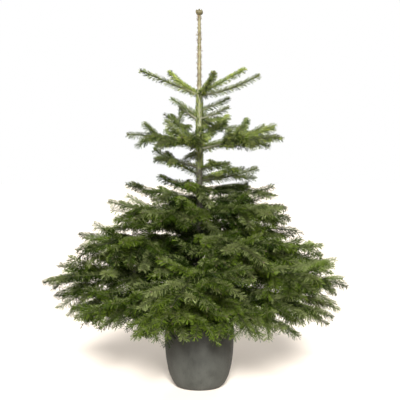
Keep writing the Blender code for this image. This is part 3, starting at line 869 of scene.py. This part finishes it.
def needles_of(shoots, looks, rng):
    """Points of all needles of these shoots, in one array for each shade."""
    by_shade = {name: [] for name in SHADES}
    names = list(SHADES)
    for shoot in shoots:
        rows = needle_rows(shoot, looks, rng)
        if rows is None:
            continue
        root, direction, facing, size, around = rows
        points = needle_points(root, direction, facing, size, looks.breadth, rng)
        colouring = shoot.colouring
        shade = np.full(len(points), names.index(shoot.shade))
        mixed = rng.uniform(size=len(points)) < colouring.mixing
        weights = np.array(list(colouring.weights.values()))
        dealt = rng.choice([names.index(name) for name in colouring.weights], len(points),
                           p=weights / weights.sum())
        shade[mixed] = dealt[mixed]
        # Needles on top of a shoot take the above shade, a painted highlight where it is pale, and those
        # under it the below shade, painted shade where it is dark
        for (name, share), there in ((colouring.above, np.cos(around) > TOP_SIDE),
                                     (colouring.below, np.cos(around) < UNDERSIDE)):
            shade[there & (rng.uniform(size=len(points)) < share)] = names.index(name)
        for number in np.unique(shade):
            by_shade[names[number]].append(points[shade == number])
    return {name: np.concatenate(rows) for name, rows in by_shade.items() if rows}


# Buds

BUD_PROFILE = ((0.0, 0.5), (0.4, 1.0), (1.0, 0.15))  # (share of its length, share of its girth)
BUD_GIRTH = 0.32  # the widest radius, as a share of its length
BUD_SIDES = 4
BUD_SPLAY = 0.8  # of the two beside the one at the tip
BUD_SEAT = 0.0008
BUD_SIZES = (0.8, 1.2)
BUD_SIZE_OF_ORDER = (1.15, 1.15, 0.8)


def bud_points(tips, directions, lengths):
    """Rings of small pointed buds, each standing along its direction."""
    _, side, up = frames_of(directions, 0.9)
    around = rows_around(side, up, BUD_SIDES)
    rows = []
    for rise, width in BUD_PROFILE:
        centre = tips + directions * (lengths * rise)[:, None]
        rows.append(centre[:, None] + around * (lengths * width * BUD_GIRTH)[:, None, None])
    return np.stack(rows, axis=1)


# Materials

def new_material(name):
    """A material, its node tree and its shader."""
    material = bpy.data.materials.new(name)
    material.use_nodes = True
    return material, material.node_tree, material.node_tree.nodes["Principled BSDF"]


@functools.cache
def plain_material(name, colour, roughness, gloss=0.5):
    """A plain colour, for joined pieces whose parts are too small for a pattern."""
    material, _, shader = new_material(name)
    shader.inputs["Base Color"].default_value = (*colour, 1)
    shader.inputs["Roughness"].default_value = roughness
    shader.inputs["Specular IOR Level"].default_value = gloss
    return material


@functools.cache
def mottling_group():
    """Patches, grain and specks that several finishes share. Sizes are in metres."""
    group = bpy.data.node_groups.new("mottling", "ShaderNodeTree")
    interface = group.interface
    for name, default in (("Patch size", 0.05), ("Grain size", 0.002), ("Stretch", 1.0)):
        socket = interface.new_socket(name, in_out="INPUT", socket_type="NodeSocketFloat")
        socket.default_value = default
    for name in ("Patches", "Grain", "Specks"):
        interface.new_socket(name, in_out="OUTPUT", socket_type="NodeSocketFloat")
    nodes, links = group.nodes, group.links
    ends = nodes.new("NodeGroupInput"), nodes.new("NodeGroupOutput")
    coordinates = nodes.new("ShaderNodeTexCoord")
    stretched = nodes.new("ShaderNodeCombineXYZ")
    for axis in ("X", "Y"):
        stretched.inputs[axis].default_value = 1.0
    links.new(ends[0].outputs["Stretch"], stretched.inputs["Z"])
    place = nodes.new("ShaderNodeVectorMath")
    place.operation = "MULTIPLY"
    links.new(coordinates.outputs["Object"], place.inputs[0])
    links.new(stretched.outputs["Vector"], place.inputs[1])

    def texture(kind, size_name, detail, low, high, output, factor_name):
        scale = nodes.new("ShaderNodeMath")
        scale.operation = "DIVIDE"
        scale.inputs[0].default_value = 1.0
        links.new(ends[0].outputs[size_name], scale.inputs[1])
        pattern = nodes.new(kind)
        if detail is not None:
            pattern.inputs["Detail"].default_value = detail
        links.new(place.outputs["Vector"], pattern.inputs["Vector"])
        links.new(scale.outputs["Value"], pattern.inputs["Scale"])
        spread = nodes.new("ShaderNodeMapRange")
        spread.inputs["From Min"].default_value = low
        spread.inputs["From Max"].default_value = high
        links.new(pattern.outputs[factor_name], spread.inputs["Value"])
        links.new(spread.outputs["Result"], ends[1].inputs[output])

    texture("ShaderNodeTexNoise", "Patch size", 4.0, 0.35, 0.65, "Patches", "Fac")
    texture("ShaderNodeTexNoise", "Grain size", 3.0, 0.30, 0.70, "Grain", "Fac")
    texture("ShaderNodeTexVoronoi", "Grain size", None, 0.22, 0.08, "Specks", "Distance")
    return group


def place_mottling(tree, patch, grain, stretch=1.0):
    """The shared group in one material's tree, with its own sizes."""
    node = tree.nodes.new("ShaderNodeGroup")
    node.node_tree = mottling_group()
    node.inputs["Patch size"].default_value = patch
    node.inputs["Grain size"].default_value = grain
    node.inputs["Stretch"].default_value = stretch
    return node


MIX_FIRST, MIX_SECOND, MIX_RESULT = 6, 7, 2  # the colour sockets of a Mix node


def mixed_colour(tree, factor, first, second, blend="MIX"):
    """A colour mix. Each end is a colour, or the output of another node."""
    mix = tree.nodes.new("ShaderNodeMix")
    mix.data_type = "RGBA"
    mix.blend_type = blend
    tree.links.new(factor, mix.inputs["Factor"])
    for socket, end in ((mix.inputs[MIX_FIRST], first), (mix.inputs[MIX_SECOND], second)):
        if isinstance(end, bpy.types.NodeSocket):
            tree.links.new(end, socket)
        else:
            socket.default_value = (*end, 1)
    return mix.outputs[MIX_RESULT]


def ranged(tree, value, low, high, first=0.0, last=1.0):
    """A value from first to last, spread over low to high."""
    spread = tree.nodes.new("ShaderNodeMapRange")
    spread.inputs["From Min"].default_value = first
    spread.inputs["From Max"].default_value = last
    spread.inputs["To Min"].default_value = low
    spread.inputs["To Max"].default_value = high
    tree.links.new(value, spread.inputs["Value"])
    return spread.outputs["Result"]


def tinted(tree, colour, mask, most, tint, blend="MIX"):
    """A colour with a tint on it, at most that strong, where the mask shows."""
    return mixed_colour(tree, ranged(tree, mask, 0.0, most), colour, tint, blend)


def axes_of(tree, coordinates):
    """X, Y and Z of the place on the surface, in the coordinates of that name."""
    places = tree.nodes.new("ShaderNodeTexCoord")
    axes = tree.nodes.new("ShaderNodeSeparateXYZ")
    tree.links.new(places.outputs[coordinates], axes.inputs["Vector"])
    return axes.outputs


def finished(made, colour, rough_mask, roughness, relief_mask, relief):
    """The material with this colour, a roughness spread over a mask, and a bump of that depth."""
    material, tree, shader = made
    tree.links.new(colour, shader.inputs["Base Color"])
    tree.links.new(ranged(tree, rough_mask, *roughness), shader.inputs["Roughness"])
    bump = tree.nodes.new("ShaderNodeBump")
    bump.inputs["Distance"].default_value = relief
    tree.links.new(relief_mask, bump.inputs["Height"])
    tree.links.new(bump.outputs["Normal"], shader.inputs["Normal"])
    return material


PIT_COLOUR = (0.024, 0.024, 0.022)
SPECK_COLOUR = (0.115, 0.110, 0.096)
SCUFF_COLOUR = (0.019, 0.020, 0.018)
CROWN_SHADE_ON_CLAY = (0.45, 0.45, 0.44)  # painted shade of the crown: the clay is darkened so far towards the rim
CROWN_SHADE_HEIGHTS = (0.02, 0.165)  # from none of that painted shade to all of it


def clay_material(looks):
    """Dark fibre clay with a pale bloom, fine grain, small pits and scuffs, and painted shade of the crown
    that darkens it towards the rim.
    """
    made = _, tree, shader = new_material("fibre clay")
    mottling = place_mottling(tree, 0.06, 0.0022).outputs
    colour = mixed_colour(tree, mottling["Patches"], looks.clay, looks.bloom)
    colour = tinted(tree, colour, mottling["Grain"], 0.35, PIT_COLOUR)
    colour = tinted(tree, colour, mottling["Specks"], 0.25, SPECK_COLOUR)
    scuffs = place_mottling(tree, 0.016, 0.008, stretch=0.5).outputs
    colour = tinted(tree, colour, scuffs["Patches"], 0.3, looks.bloom)
    colour = tinted(tree, colour, scuffs["Specks"], 0.55, SCUFF_COLOUR)
    # Painted shade: the clay is darkened towards the rim, where the crown overhangs the pot
    damp_and_shade = ranged(tree, axes_of(tree, "Object")["Z"], 0.0, 1.0, *CROWN_SHADE_HEIGHTS)
    colour = tinted(tree, colour, damp_and_shade, 0.75, CROWN_SHADE_ON_CLAY, "MULTIPLY")
    shader.inputs["Specular IOR Level"].default_value = 0.2
    return finished(made, colour, mottling["Patches"], (0.55, 0.78), mottling["Grain"], 0.0004)


CRACK_SHADE = (0.4, 0.4, 0.4)
LICHEN_COLOUR = (0.11, 0.10, 0.07)
OUTER_BARK = (0.025, 0.12)  # from the trunk's axis: none of the outer colour, and all of it


def bark_material(looks):
    """Grey-brown bark below, olive further up and tan on the leader, with stretched specks."""
    made = _, tree, _ = new_material("bark")
    axes = axes_of(tree, "Object")
    ramp = tree.nodes.new("ShaderNodeValToRGB")
    tree.links.new(ranged(tree, axes["Z"], 0.0, 1.0, SOIL_TOP, TREE_TOP), ramp.inputs["Fac"])
    # Heights where old bark ends, young bark starts and ends, and the leader starts
    stops = ((0.9545, looks.old), (1.0962, looks.young), (1.2875, looks.young), (1.33, looks.leader))
    elements = ramp.color_ramp.elements
    while len(elements) < len(stops):
        elements.new(0.5)
    for element, (height, colour) in zip(elements, stops):
        element.position = (height - SOIL_TOP) / (TREE_TOP - SOIL_TOP)
        element.color = (*colour, 1)
    level = tree.nodes.new("ShaderNodeCombineXYZ")
    for axis in ("X", "Y"):
        tree.links.new(axes[axis], level.inputs[axis])
    distance = tree.nodes.new("ShaderNodeVectorMath")
    distance.operation = "LENGTH"
    tree.links.new(level.outputs["Vector"], distance.inputs[0])
    outwards = ranged(tree, distance.outputs["Value"], 0.0, 1.0, *OUTER_BARK)
    mottling = place_mottling(tree, 0.012, 0.0016, stretch=0.35).outputs
    colour = tinted(tree, ramp.outputs["Color"], mottling["Patches"], 0.65, CRACK_SHADE, "MULTIPLY")
    colour = tinted(tree, colour, mottling["Grain"], 0.3, LICHEN_COLOUR)
    colour = mixed_colour(tree, outwards, colour, looks.outer)
    return finished(made, colour, mottling["Grain"], (0.6, 0.9), mottling["Grain"], 0.0006)


def compost_material(looks):
    """Damp dark compost with drier crumbs."""
    made = _, tree, _ = new_material("compost")
    mottling = place_mottling(tree, 0.012, 0.0018).outputs
    colour = tinted(tree, looks.damp_and_shade, mottling["Patches"], 0.8, looks.dry)
    return finished(made, colour, mottling["Grain"], (0.75, 1.0), mottling["Grain"], 0.0012)


def leader_bud_material():
    """Olive-brown scales with paler, resinous tips."""
    made = _, tree, _ = new_material("leader buds")
    mottling = place_mottling(tree, 0.006, 0.0012).outputs
    colour = mixed_colour(tree, mottling["Patches"], (0.055, 0.052, 0.018), (0.120, 0.095, 0.042))
    return finished(made, colour, mottling["Grain"], (0.4, 0.7), mottling["Grain"], 0.0004)


def floor_material(looks):
    """A matt pale floor, very slightly uneven in tone."""
    material, tree, shader = new_material("floor")
    mottling = place_mottling(tree, 0.4, 0.01).outputs
    shade = tinted(tree, looks.floor, mottling["Patches"], 0.02, (0.8, 0.8, 0.8))
    tree.links.new(shade, shader.inputs["Base Color"])
    shader.inputs["Roughness"].default_value = 0.7
    shader.inputs["Specular IOR Level"].default_value = 0.0
    return material


# Pot and compost

def pot_outer_radius(height):
    """The pot's outline: nearly upright under the rim, and rounding in fast near the base."""
    fullness, roundness = POT_BELLY
    swell = (1 - (1 - height / POT_HEIGHT) ** fullness) ** roundness
    return POT_BASE_RADIUS + (POT_RIM_RADIUS - POT_BASE_RADIUS) * swell


def arc(centre, radius, first, last, count):
    """Points of an arc in a profile. Angles are in degrees, from outwards to upwards."""
    angles = np.radians(np.linspace(first, last, count))
    return [(centre[0] + radius * math.cos(a), centre[1] + radius * math.sin(a)) for a in angles]


OUTLINE_RINGS = 46
OUTLINE_CROWDING = 1.6  # 1 spreads them evenly, and more crowds them near the base, where it rounds in
LIP_POINTS = 11
INNER_RINGS = 8
INNER_DEPTH = 0.02  # how far the inside goes down below the compost
FLAT_BASE = 0.6  # of the base's radius
POT_SIDES = 144
WANDER_RISE, WANDER_LUMPS = 9, 1.7  # how fast the wall's wander changes up it, and all over
WANDER_INWARD = 0.4  # how far the whole wall is moved in, as a share of the unevenness
RIPPLES, RIPPLE_DEPTH = 900, 0.12  # radians for each metre up the wall, and a share of the unevenness


def pot_profile():
    """(radius, height) from the middle of the underside up the outside, over the lip and down inside."""
    lip = POT_WALL / 2
    heights = POT_HEIGHT * np.linspace(0, 1, OUTLINE_RINGS) ** OUTLINE_CROWDING
    outside = [(pot_outer_radius(h), h) for h in heights if h < POT_HEIGHT - lip]
    top = arc((POT_RIM_RADIUS - lip, POT_HEIGHT - lip), lip, 0, 180, LIP_POINTS)
    inner_heights = np.linspace(POT_HEIGHT - lip, SOIL_TOP - INNER_DEPTH, INNER_RINGS)[1:]
    inside = [(pot_outer_radius(h) - POT_WALL, h) for h in inner_heights]
    return [(0.0, 0.0), (POT_BASE_RADIUS * FLAT_BASE, 0.0), *outside, *top, *inside, (0.0, inside[-1][1])]


def turned_points(profile, sides, shift):
    """Rings round the upright axis. shift gives how far a point of the wall moves outwards."""
    narrowest, wall = 0.0004, POT_BASE_RADIUS * 0.8
    rings = []
    for radius, height in profile:
        ring = []
        for i in range(sides):
            angle = math.tau * i / sides
            moved = max(radius, narrowest) + (shift(angle, height) if radius > wall else 0.0)
            ring.append((moved * math.cos(angle), moved * math.sin(angle), height))
        rings.append(ring)
    return np.array(rings)


def make_pot(looks):
    """The pot, with a finer outline and a wall that wanders a little."""
    def wander(angle, height):
        place = Vector((math.cos(angle), math.sin(angle), height * WANDER_RISE))
        ripple = math.sin(height * RIPPLES + 2 * noise.noise(place * 2)) * RIPPLE_DEPTH
        return looks.unevenness * (noise.noise(place * WANDER_LUMPS) - WANDER_INWARD + ripple)

    points = turned_points(pot_profile(), POT_SIDES, wander)
    quads, caps = tube_faces(len(points), POT_SIDES)
    obj = add_mesh("pot_shell", points.reshape(-1, 3), [quads, caps], clay_material(looks))
    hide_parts("pot")


SOIL_SIDES, SOIL_RINGS = 120, 52
SOIL_GAP = 0.0006  # between the compost and the wall
SOIL_SKIRT = 0.015  # how far the surface goes down along the wall
SOIL_LUMPS = ((60, 3.0, 0.0016), (190, 8.0, 0.0013))  # (lumps for each metre, layer of noise, height)
SOIL_SETTLED = 0.0025
TRUNK_MOUND, MOUND_RADIUS = 0.003, 0.042


def soil_height(x, y):
    """The crumbly top of the compost, a little higher at the foot of the trunk."""
    lump = sum(noise.noise(Vector((x * rate, y * rate, layer))) * height
               for rate, layer, height in SOIL_LUMPS)
    foot = TRUNK_MOUND * math.exp(-(math.hypot(x, y) / MOUND_RADIUS) ** 4)
    return SOIL_TOP - SOIL_SETTLED + lump + foot


def level_ring(out, height_at):
    """Points round the upright axis, each at the height that height_at gives for its place."""
    angles = (math.tau * i / SOIL_SIDES for i in range(SOIL_SIDES))
    places = [(out * math.cos(angle), out * math.sin(angle)) for angle in angles]
    return [(x, y, height_at(x, y)) for x, y in places]


def make_soil(looks):
    """The compost's surface and a short skirt of it down the wall, with loose crumbs on top."""
    radius = pot_outer_radius(SOIL_TOP) - POT_WALL - SOIL_GAP
    outs = [max(radius * i / SOIL_RINGS, SOIL_GAP) for i in range(SOIL_RINGS + 1)]
    rings = [level_ring(out, soil_height) for out in outs]
    rings.append(level_ring(radius, lambda x, y: SOIL_TOP - SOIL_SKIRT))
    quads, caps = tube_faces(len(rings), SOIL_SIDES)
    surface = add_mesh("compost", np.array(rings).reshape(-1, 3), [quads[:, ::-1], caps[:, ::-1]],
                       compost_material(looks))
    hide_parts("soil")
    make_crumbs(looks, radius)


CRUMB_RANGE = (0.06, 0.94)  # of the compost's area, from the trunk out
CRUMB_SIZES = (0.4, 1.7)
CRUMB_BREADTHS, CRUMB_HEIGHTS = (0.6, 1), (0.4, 0.8)
CRUMB_CORNERS = (0.75, 1.2)
CRUMB_SEAT = 0.4  # how far its middle stands above the compost, as a share of its height


def make_crumbs(looks, radius):
    """Loose crumbs, scattered over the compost as far out as radius."""
    rng = np.random.default_rng(TWIG_SEED)
    corners, faces = lump_shape()
    clouds = []
    for _ in range(looks.crumbs):
        angle, out = rng.uniform(0, math.tau), radius * math.sqrt(rng.uniform(*CRUMB_RANGE))
        x, y = out * math.cos(angle), out * math.sin(angle)
        size = looks.crumb_size * rng.uniform(*CRUMB_SIZES)
        size = size * np.array((1.0, rng.uniform(*CRUMB_BREADTHS), rng.uniform(*CRUMB_HEIGHTS)))
        turn = rng.uniform(0, math.tau)
        lump = corners * rng.uniform(*CRUMB_CORNERS, (len(corners), 1)) * size
        turned = np.stack((lump[:, 0] * math.cos(turn) - lump[:, 1] * math.sin(turn),
                           lump[:, 0] * math.sin(turn) + lump[:, 1] * math.cos(turn), lump[:, 2]), axis=-1)
        clouds.append(turned + (x, y, soil_height(x, y) + size[2] * CRUMB_SEAT))
    all_faces = (faces[None] + np.arange(len(clouds))[:, None, None] * len(corners)).reshape(-1, 3)
    crumbs = add_mesh("compost_crumbs", np.concatenate(clouds), [all_faces],
                      plain_material("dry crumbs", tuple(looks.dry), 0.95))


def lump_shape():
    """The corners and faces of a twenty-sided lump of radius 1."""
    golden = (1 + math.sqrt(5)) / 2
    corners = [corner for a in (-1, 1) for b in (-golden, golden)
               for corner in ((0, a, b), (a, b, 0), (b, 0, a))]
    corners = unit(np.array(corners, float))
    neighbouring = 2.1 / math.sqrt(1 + golden * golden)  # a little over the length of an edge
    faces = []
    for i, j, k in itertools.combinations(range(len(corners)), 3):
        edges = (corners[i] - corners[j], corners[j] - corners[k], corners[k] - corners[i])
        if all(np.linalg.norm(edge) < neighbouring for edge in edges):
            out = np.dot(np.cross(corners[j] - corners[i], corners[k] - corners[i]), corners[i]) > 0
            faces.append((i, j, k) if out else (i, k, j))
    return corners, np.array(faces)


# Bark

STEM_SIDES = 48
STEM_STEP = 0.0042
COLLAR_RANGE = 0.04  # how far up and down the stem a branch's root is felt
COLLAR_BULGE = 0.45  # of the branch's radius
COLLAR_BREADTH, COLLAR_HEIGHT = 1.5, 2.0  # in radii of the branch
COLLAR_DROP = 0.001  # from the branch's root to its middle
CRACK_RATES, BROAD_RATES, BLISTER_RATES = (330, 70), (1.6, 14), (190, 170)  # across the bark, and up it
BLISTER_START = 0.32
CRACK_DEPTH, BROAD_DEPTH, BLISTER_DEPTH = 0.55, 0.5, 1.6  # shares of the relief
RELIEF_INWARD = 0.4  # how far the whole bark is moved in, as a share of the relief
BUTTRESS, BUTTRESSES, BUTTRESS_FALL = 0.0018, 5, 0.03
SMOOTHING_UPWARDS = 0.55  # of the relief, at the top


def stem_rings(looks):
    """Rings of the trunk, with collars round the roots of branches and blisters in the bark."""
    heights = [TRUNK_FOOT]
    while heights[-1] < TREE_TOP - BUD_HEIGHT:
        heights.append(min(heights[-1] + STEM_STEP, TREE_TOP - BUD_HEIGHT))
    roots = [(shoot.points[0][2], math.atan2(shoot.points[3][1], shoot.points[3][0]), shoot.radii[0])
             for shoot in crown() if shoot.order == 0]

    def pattern(x, y, height, rates):
        return noise.noise(Vector((x * rates[0], y * rates[0], height * rates[1])))

    rings = []
    for height in heights:
        ring = []
        base = trunk_radius(height)
        near = [root for root in roots if abs(root[0] - height) < COLLAR_RANGE]
        youth = (height - SOIL_TOP) / (TREE_TOP - SOIL_TOP)
        for i in range(STEM_SIDES):
            angle = math.tau * i / STEM_SIDES
            x, y = math.cos(angle), math.sin(angle)
            collar = 0.0
            for root_height, azimuth, radius in near:
                across = math.remainder(angle - azimuth, math.tau) * base / (radius * COLLAR_BREADTH)
                upward = (height - root_height + COLLAR_DROP) / (radius * COLLAR_HEIGHT)
                collar += radius * COLLAR_BULGE * math.exp(-(across ** 2 + upward ** 2))
            crack = pattern(x * base, y * base, height, CRACK_RATES)
            broad = pattern(x, y, height, BROAD_RATES)
            blister = max(0.0, pattern(x * base, y * base, height, BLISTER_RATES) - BLISTER_START)
            foot = math.exp(-(height - SOIL_TOP) / BUTTRESS_FALL)
            buttress = BUTTRESS * math.cos(BUTTRESSES * angle + 1.0) * foot
            relief = CRACK_DEPTH * crack + BROAD_DEPTH * broad + BLISTER_DEPTH * blister
            relief = looks.relief * (1 - SMOOTHING_UPWARDS * youth) * relief
            out = base + relief + collar + buttress - looks.relief * RELIEF_INWARD
            ring.append((x * out, y * out, height))
        rings.append(ring)
    return np.array(rings)


LIMB_SIDES, TWIG_SIDES = 10, 4
YOUNG_WOOD = ((0.046, 0.058, 0.013), 0.8)  # its colour and roughness
BUD_SCALES = ((0.070, 0.055, 0.026), 0.55)


def make_bark(looks):
    """The trunk and the branches' own axes, both with the bark's relief."""
    material = bark_material(looks)
    stem = add_mesh("stem_bark", *joined_tubes([stem_rings(looks)]), material)
    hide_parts("trunk")
    axes = [limb_points(shoot, LIMB_SIDES, looks.relief) for shoot in crown() if shoot.order == 0]
    limbs = add_mesh("bough_bark", *joined_tubes(axes), material)
    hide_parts(*(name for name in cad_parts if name.endswith("_bough")))


def make_twigs():
    """Side shoots and twigs, joined by tier."""
    for tier in TIERS:
        twigs = [limb_points(shoot, TWIG_SIDES, 0.0) for shoot in crown()
                 if shoot.order > 0 and shoot.tier == tier]
        obj = add_mesh(f"twigs_{tier}", *joined_tubes(twigs), plain_material("young wood", *YOUNG_WOOD))
        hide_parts(*foliage_nodes(tier))


NEEDLE_GLOSS = 0.07


def make_needles(looks):
    """Needles, joined by tier and shade, and the short straw ones on the leader."""
    for number, tier in enumerate(TIERS):
        rng = np.random.default_rng((TWIG_SEED, number))
        shoots = [shoot for shoot in crown() if shoot.tier == tier]
        if tier == "top":
            shoots += stem_shoots()
        for shade, points in needles_of(shoots, looks, rng).items():
            faces = np.arange(points.shape[0] * points.shape[1]).reshape(points.shape[:2])
            obj = add_mesh(f"needles_{tier}_{shade}", points.reshape(-1, 3), [faces],
                           plain_material(f"needle {shade}", *SHADES[shade], NEEDLE_GLOSS))
            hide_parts(*foliage_nodes(tier))


def make_buds(looks):
    """Three buds at the tip of each branch and one at that of every other shoot, and the leader's."""
    rng = np.random.default_rng(TWIG_SEED + 1)
    for tier in TIERS:
        tips, directions, lengths = [], [], []
        for shoot in crown():
            if shoot.tier != tier:
                continue
            ahead, side, _ = (rows[-1] for rows in frames_along(shoot.points))
            ways = [ahead]
            if shoot.order == 0:
                ways += [unit(ahead + side * BUD_SPLAY), unit(ahead - side * BUD_SPLAY)]
            for way in ways:
                tips.append(shoot.points[-1] - way * BUD_SEAT)
                directions.append(way)
                lengths.append(looks.bud * rng.uniform(*BUD_SIZES) * BUD_SIZE_OF_ORDER[shoot.order])
        buds = bud_points(np.array(tips), np.array(directions), np.array(lengths))
        obj = add_mesh(f"buds_{tier}", *joined_tubes(buds), plain_material("bud scales", *BUD_SCALES))
    make_leader_buds()


NECK_OVERLAP = 0.001
OUTER_BUDS = 6
OUTER_BUD_LENGTH = 0.0215
OUTER_BUD_SPLAY = 0.42
OUTER_BUD_OUT = 0.005  # how far from the leader's axis it is rooted
BUD_OVERLAP = 0.002  # how far the outer ones start below the neck, turn by turn
SCALE_SIDES, SCALE_RINGS, SCALE_ROWS = 14, 13, 3  # a row of scales for each three rings
SCALE_LIP, SCALE_WAVES, SCALE_DEPTH = 0.10, 7, 0.05
EGG_GIRTH, EGG_START, EGG_RANGE, EGG_FULLNESS = 0.34, 0.12, 0.86, 0.8


def make_leader_buds():
    """The cluster of large scaly buds that ends the leader: one upright, and six round its foot."""
    neck = TREE_TOP - BUD_HEIGHT
    buds = [(UP * (neck - NECK_OVERLAP), UP, BUD_HEIGHT + NECK_OVERLAP)]
    for number in range(OUTER_BUDS):
        turn = math.tau * (number + 0.3) / OUTER_BUDS
        out = np.array((math.cos(turn), math.sin(turn), 0.0))
        foot = UP * (neck - BUD_OVERLAP + BUD_OVERLAP * (number % 2)) + out * OUTER_BUD_OUT
        buds.append((foot, unit(out * OUTER_BUD_SPLAY + UP), OUTER_BUD_LENGTH))
    rings = [scaly_rings(*bud) for bud in buds]
    obj = add_mesh("leader_buds", *joined_tubes(rings), leader_bud_material())


def scaly_rings(root, way, length):
    """Rings of an egg-shaped bud, each row of scales standing half a scale on from the last."""
    _, side, up = frames_of(way[None])
    around = rows_around(side, up, SCALE_SIDES)[0]
    angle = np.arange(SCALE_SIDES) * (math.tau / SCALE_SIDES)
    rings = []
    for step in range(SCALE_RINGS):
        rise = step / (SCALE_RINGS - 1)
        egg = math.sin(math.pi * (EGG_START + EGG_RANGE * rise)) ** EGG_FULLNESS
        waves = SCALE_DEPTH * np.cos(SCALE_WAVES * angle + math.pi * (step // SCALE_ROWS))
        lip = 1.0 + SCALE_LIP * (step % SCALE_ROWS == 0) + waves
        rings.append(root + way * length * rise + around * (length * EGG_GIRTH * egg * lip)[:, None])
    return np.array(rings)


# Stage

FLOOR_HALF = 60.0
LAMP_AIM = (0, 0, 0.6)
KEY_PLACE = (0.05, -3.6, 2.2)
REAR_PLACE = (0.8, 3.6, 0.95)
REAR_SOFTNESS = math.radians(24)
CAMERA_PLACE, CAMERA_AIM = (0.003, -4.0, 0.95), (0.003, 0.0, 0.825)
CAMERA_LENS, CAMERA_SENSOR = 81.8, 36.0  # millimetres


def put_up(name, data, place, aim):
    """A lamp or camera in its place, turned to what it aims at."""
    obj = bpy.data.objects.new(name, data)
    obj.location = place
    obj.rotation_euler = (Vector(aim) - obj.location).to_track_quat("-Z", "Y").to_euler()
    bpy.context.scene.collection.objects.link(obj)
    return obj


def add_lamp(name, strength, softness, place):
    """A soft light, as from far away."""
    light = bpy.data.lights.new(name, "SUN")
    light.energy = strength
    light.angle = softness
    put_up(name, light, place, LAMP_AIM)


def make_floor(looks):
    """A wide level floor."""
    mesh = bpy.data.meshes.new("floor")
    corners = [(x * FLOOR_HALF, y * FLOOR_HALF, 0) for x, y in ((-1, -1), (1, -1), (1, 1), (-1, 1))]
    mesh.from_pydata(corners, [], [(0, 1, 2, 3)])
    mesh.materials.append(floor_material(looks))
    floor = bpy.data.objects.new("floor", mesh)
    bpy.context.scene.collection.objects.link(floor)


def make_sky(looks):
    """An even light, stronger from above, that looks plain white to the camera."""
    world = bpy.data.worlds.new("sky")
    world.use_nodes = True
    tree = world.node_tree
    background = tree.nodes["Background"]
    background.inputs["Color"].default_value = (1.0, 1.0, 1.0, 1)
    seen = tree.nodes.new("ShaderNodeMix")
    seen.inputs["B"].default_value = 1.0
    path = tree.nodes.new("ShaderNodeLightPath")
    tree.links.new(path.outputs["Is Camera Ray"], seen.inputs["Factor"])
    upward = axes_of(tree, "Generated")["Z"]
    tree.links.new(ranged(tree, upward, looks.horizon, looks.zenith), seen.inputs["A"])
    tree.links.new(seen.outputs["Result"], background.inputs["Strength"])
    bpy.context.scene.world = world


def make_stage(looks):
    """A wide pale floor, a white sky, two soft lights and the camera."""
    make_floor(looks)
    make_sky(looks)
    add_lamp("key", looks.key, looks.softness, KEY_PLACE)
    add_lamp("rear", looks.rear, REAR_SOFTNESS, REAR_PLACE)
    camera = put_up("camera", bpy.data.cameras.new("camera"), CAMERA_PLACE, CAMERA_AIM)
    camera.data.lens = CAMERA_LENS
    camera.data.sensor_width = CAMERA_SENSOR
    bpy.context.scene.camera = camera
    bpy.context.scene.view_settings.view_transform = "Standard"


# Operators, one for each piece or group of like pieces

class FIR_OT_stage(bpy.types.Operator):
    """Lay the floor and set up lights and camera"""

    bl_idname = "fir.stage"
    bl_label = "Stage"

    def execute(self, context):
        make_stage(context.scene.fir_stage)
        return {"FINISHED"}


class FIR_OT_pot(bpy.types.Operator):
    """Make the clay pot"""

    bl_idname = "fir.pot"
    bl_label = "Pot"

    def execute(self, context):
        make_pot(context.scene.fir_pot)
        return {"FINISHED"}


class FIR_OT_compost(bpy.types.Operator):
    """Fill the pot with compost"""

    bl_idname = "fir.compost"
    bl_label = "Compost"

    def execute(self, context):
        make_soil(context.scene.fir_soil)
        return {"FINISHED"}


class FIR_OT_bark(bpy.types.Operator):
    """Make the trunk and the branches' axes"""

    bl_idname = "fir.bark"
    bl_label = "Trunk and limbs"

    def execute(self, context):
        make_bark(context.scene.fir_bark)
        return {"FINISHED"}


class FIR_OT_twigs(bpy.types.Operator):
    """Grow the side shoots and twigs"""

    bl_idname = "fir.twigs"
    bl_label = "Twigs"

    def execute(self, context):
        make_twigs()
        return {"FINISHED"}


class FIR_OT_needles(bpy.types.Operator):
    """Clothe all shoots with needles"""

    bl_idname = "fir.needles"
    bl_label = "Needles"

    def execute(self, context):
        make_needles(context.scene.fir_needles)
        return {"FINISHED"}


class FIR_OT_buds(bpy.types.Operator):
    """Put buds on the tips"""

    bl_idname = "fir.buds"
    bl_label = "Buds"

    def execute(self, context):
        make_buds(context.scene.fir_needles)
        return {"FINISHED"}


class FIR_PT_panel(bpy.types.Panel):
    """Sizes, colours and buttons of the potted fir"""

    bl_idname = "FIR_PT_panel"
    bl_label = "Potted fir"
    bl_space_type = "VIEW_3D"
    bl_region_type = "UI"
    bl_category = "Potted fir"

    def draw(self, context):
        for settings, operators in PARTS:
            box = self.layout.box()
            looks = getattr(context.scene, settings)
            for name in looks.bl_rna.properties.keys():
                if name not in ("rna_type", "name"):
                    box.prop(looks, name)
            for operator in operators:
                box.operator(operator)


PARTS = (
    ("fir_stage", ("fir.stage",)),
    ("fir_pot", ("fir.pot",)),
    ("fir_soil", ("fir.compost",)),
    ("fir_bark", ("fir.bark", "fir.twigs")),
    ("fir_needles", ("fir.needles", "fir.buds")),
)
SETTINGS = {"fir_stage": StageLooks, "fir_pot": PotLooks, "fir_soil": SoilLooks, "fir_bark": BarkLooks,
            "fir_needles": NeedleLooks}
CLASSES = (*SETTINGS.values(), FIR_OT_stage, FIR_OT_pot, FIR_OT_compost, FIR_OT_bark, FIR_OT_twigs,
           FIR_OT_needles, FIR_OT_buds, FIR_PT_panel)


def register():
    for cls in CLASSES:
        bpy.utils.register_class(cls)
    for name, group in SETTINGS.items():
        setattr(bpy.types.Scene, name, PointerProperty(type=group))


def unregister():
    for name in SETTINGS:
        delattr(bpy.types.Scene, name)
    for cls in reversed(CLASSES):
        bpy.utils.unregister_class(cls)


def main():
    register()
    bpy.ops.fir.stage()
    bpy.ops.fir.pot()
    bpy.ops.fir.compost()
    bpy.ops.fir.bark()
    bpy.ops.fir.twigs()
    bpy.ops.fir.needles()
    bpy.ops.fir.buds()


if __name__ == "__main__":
    main()
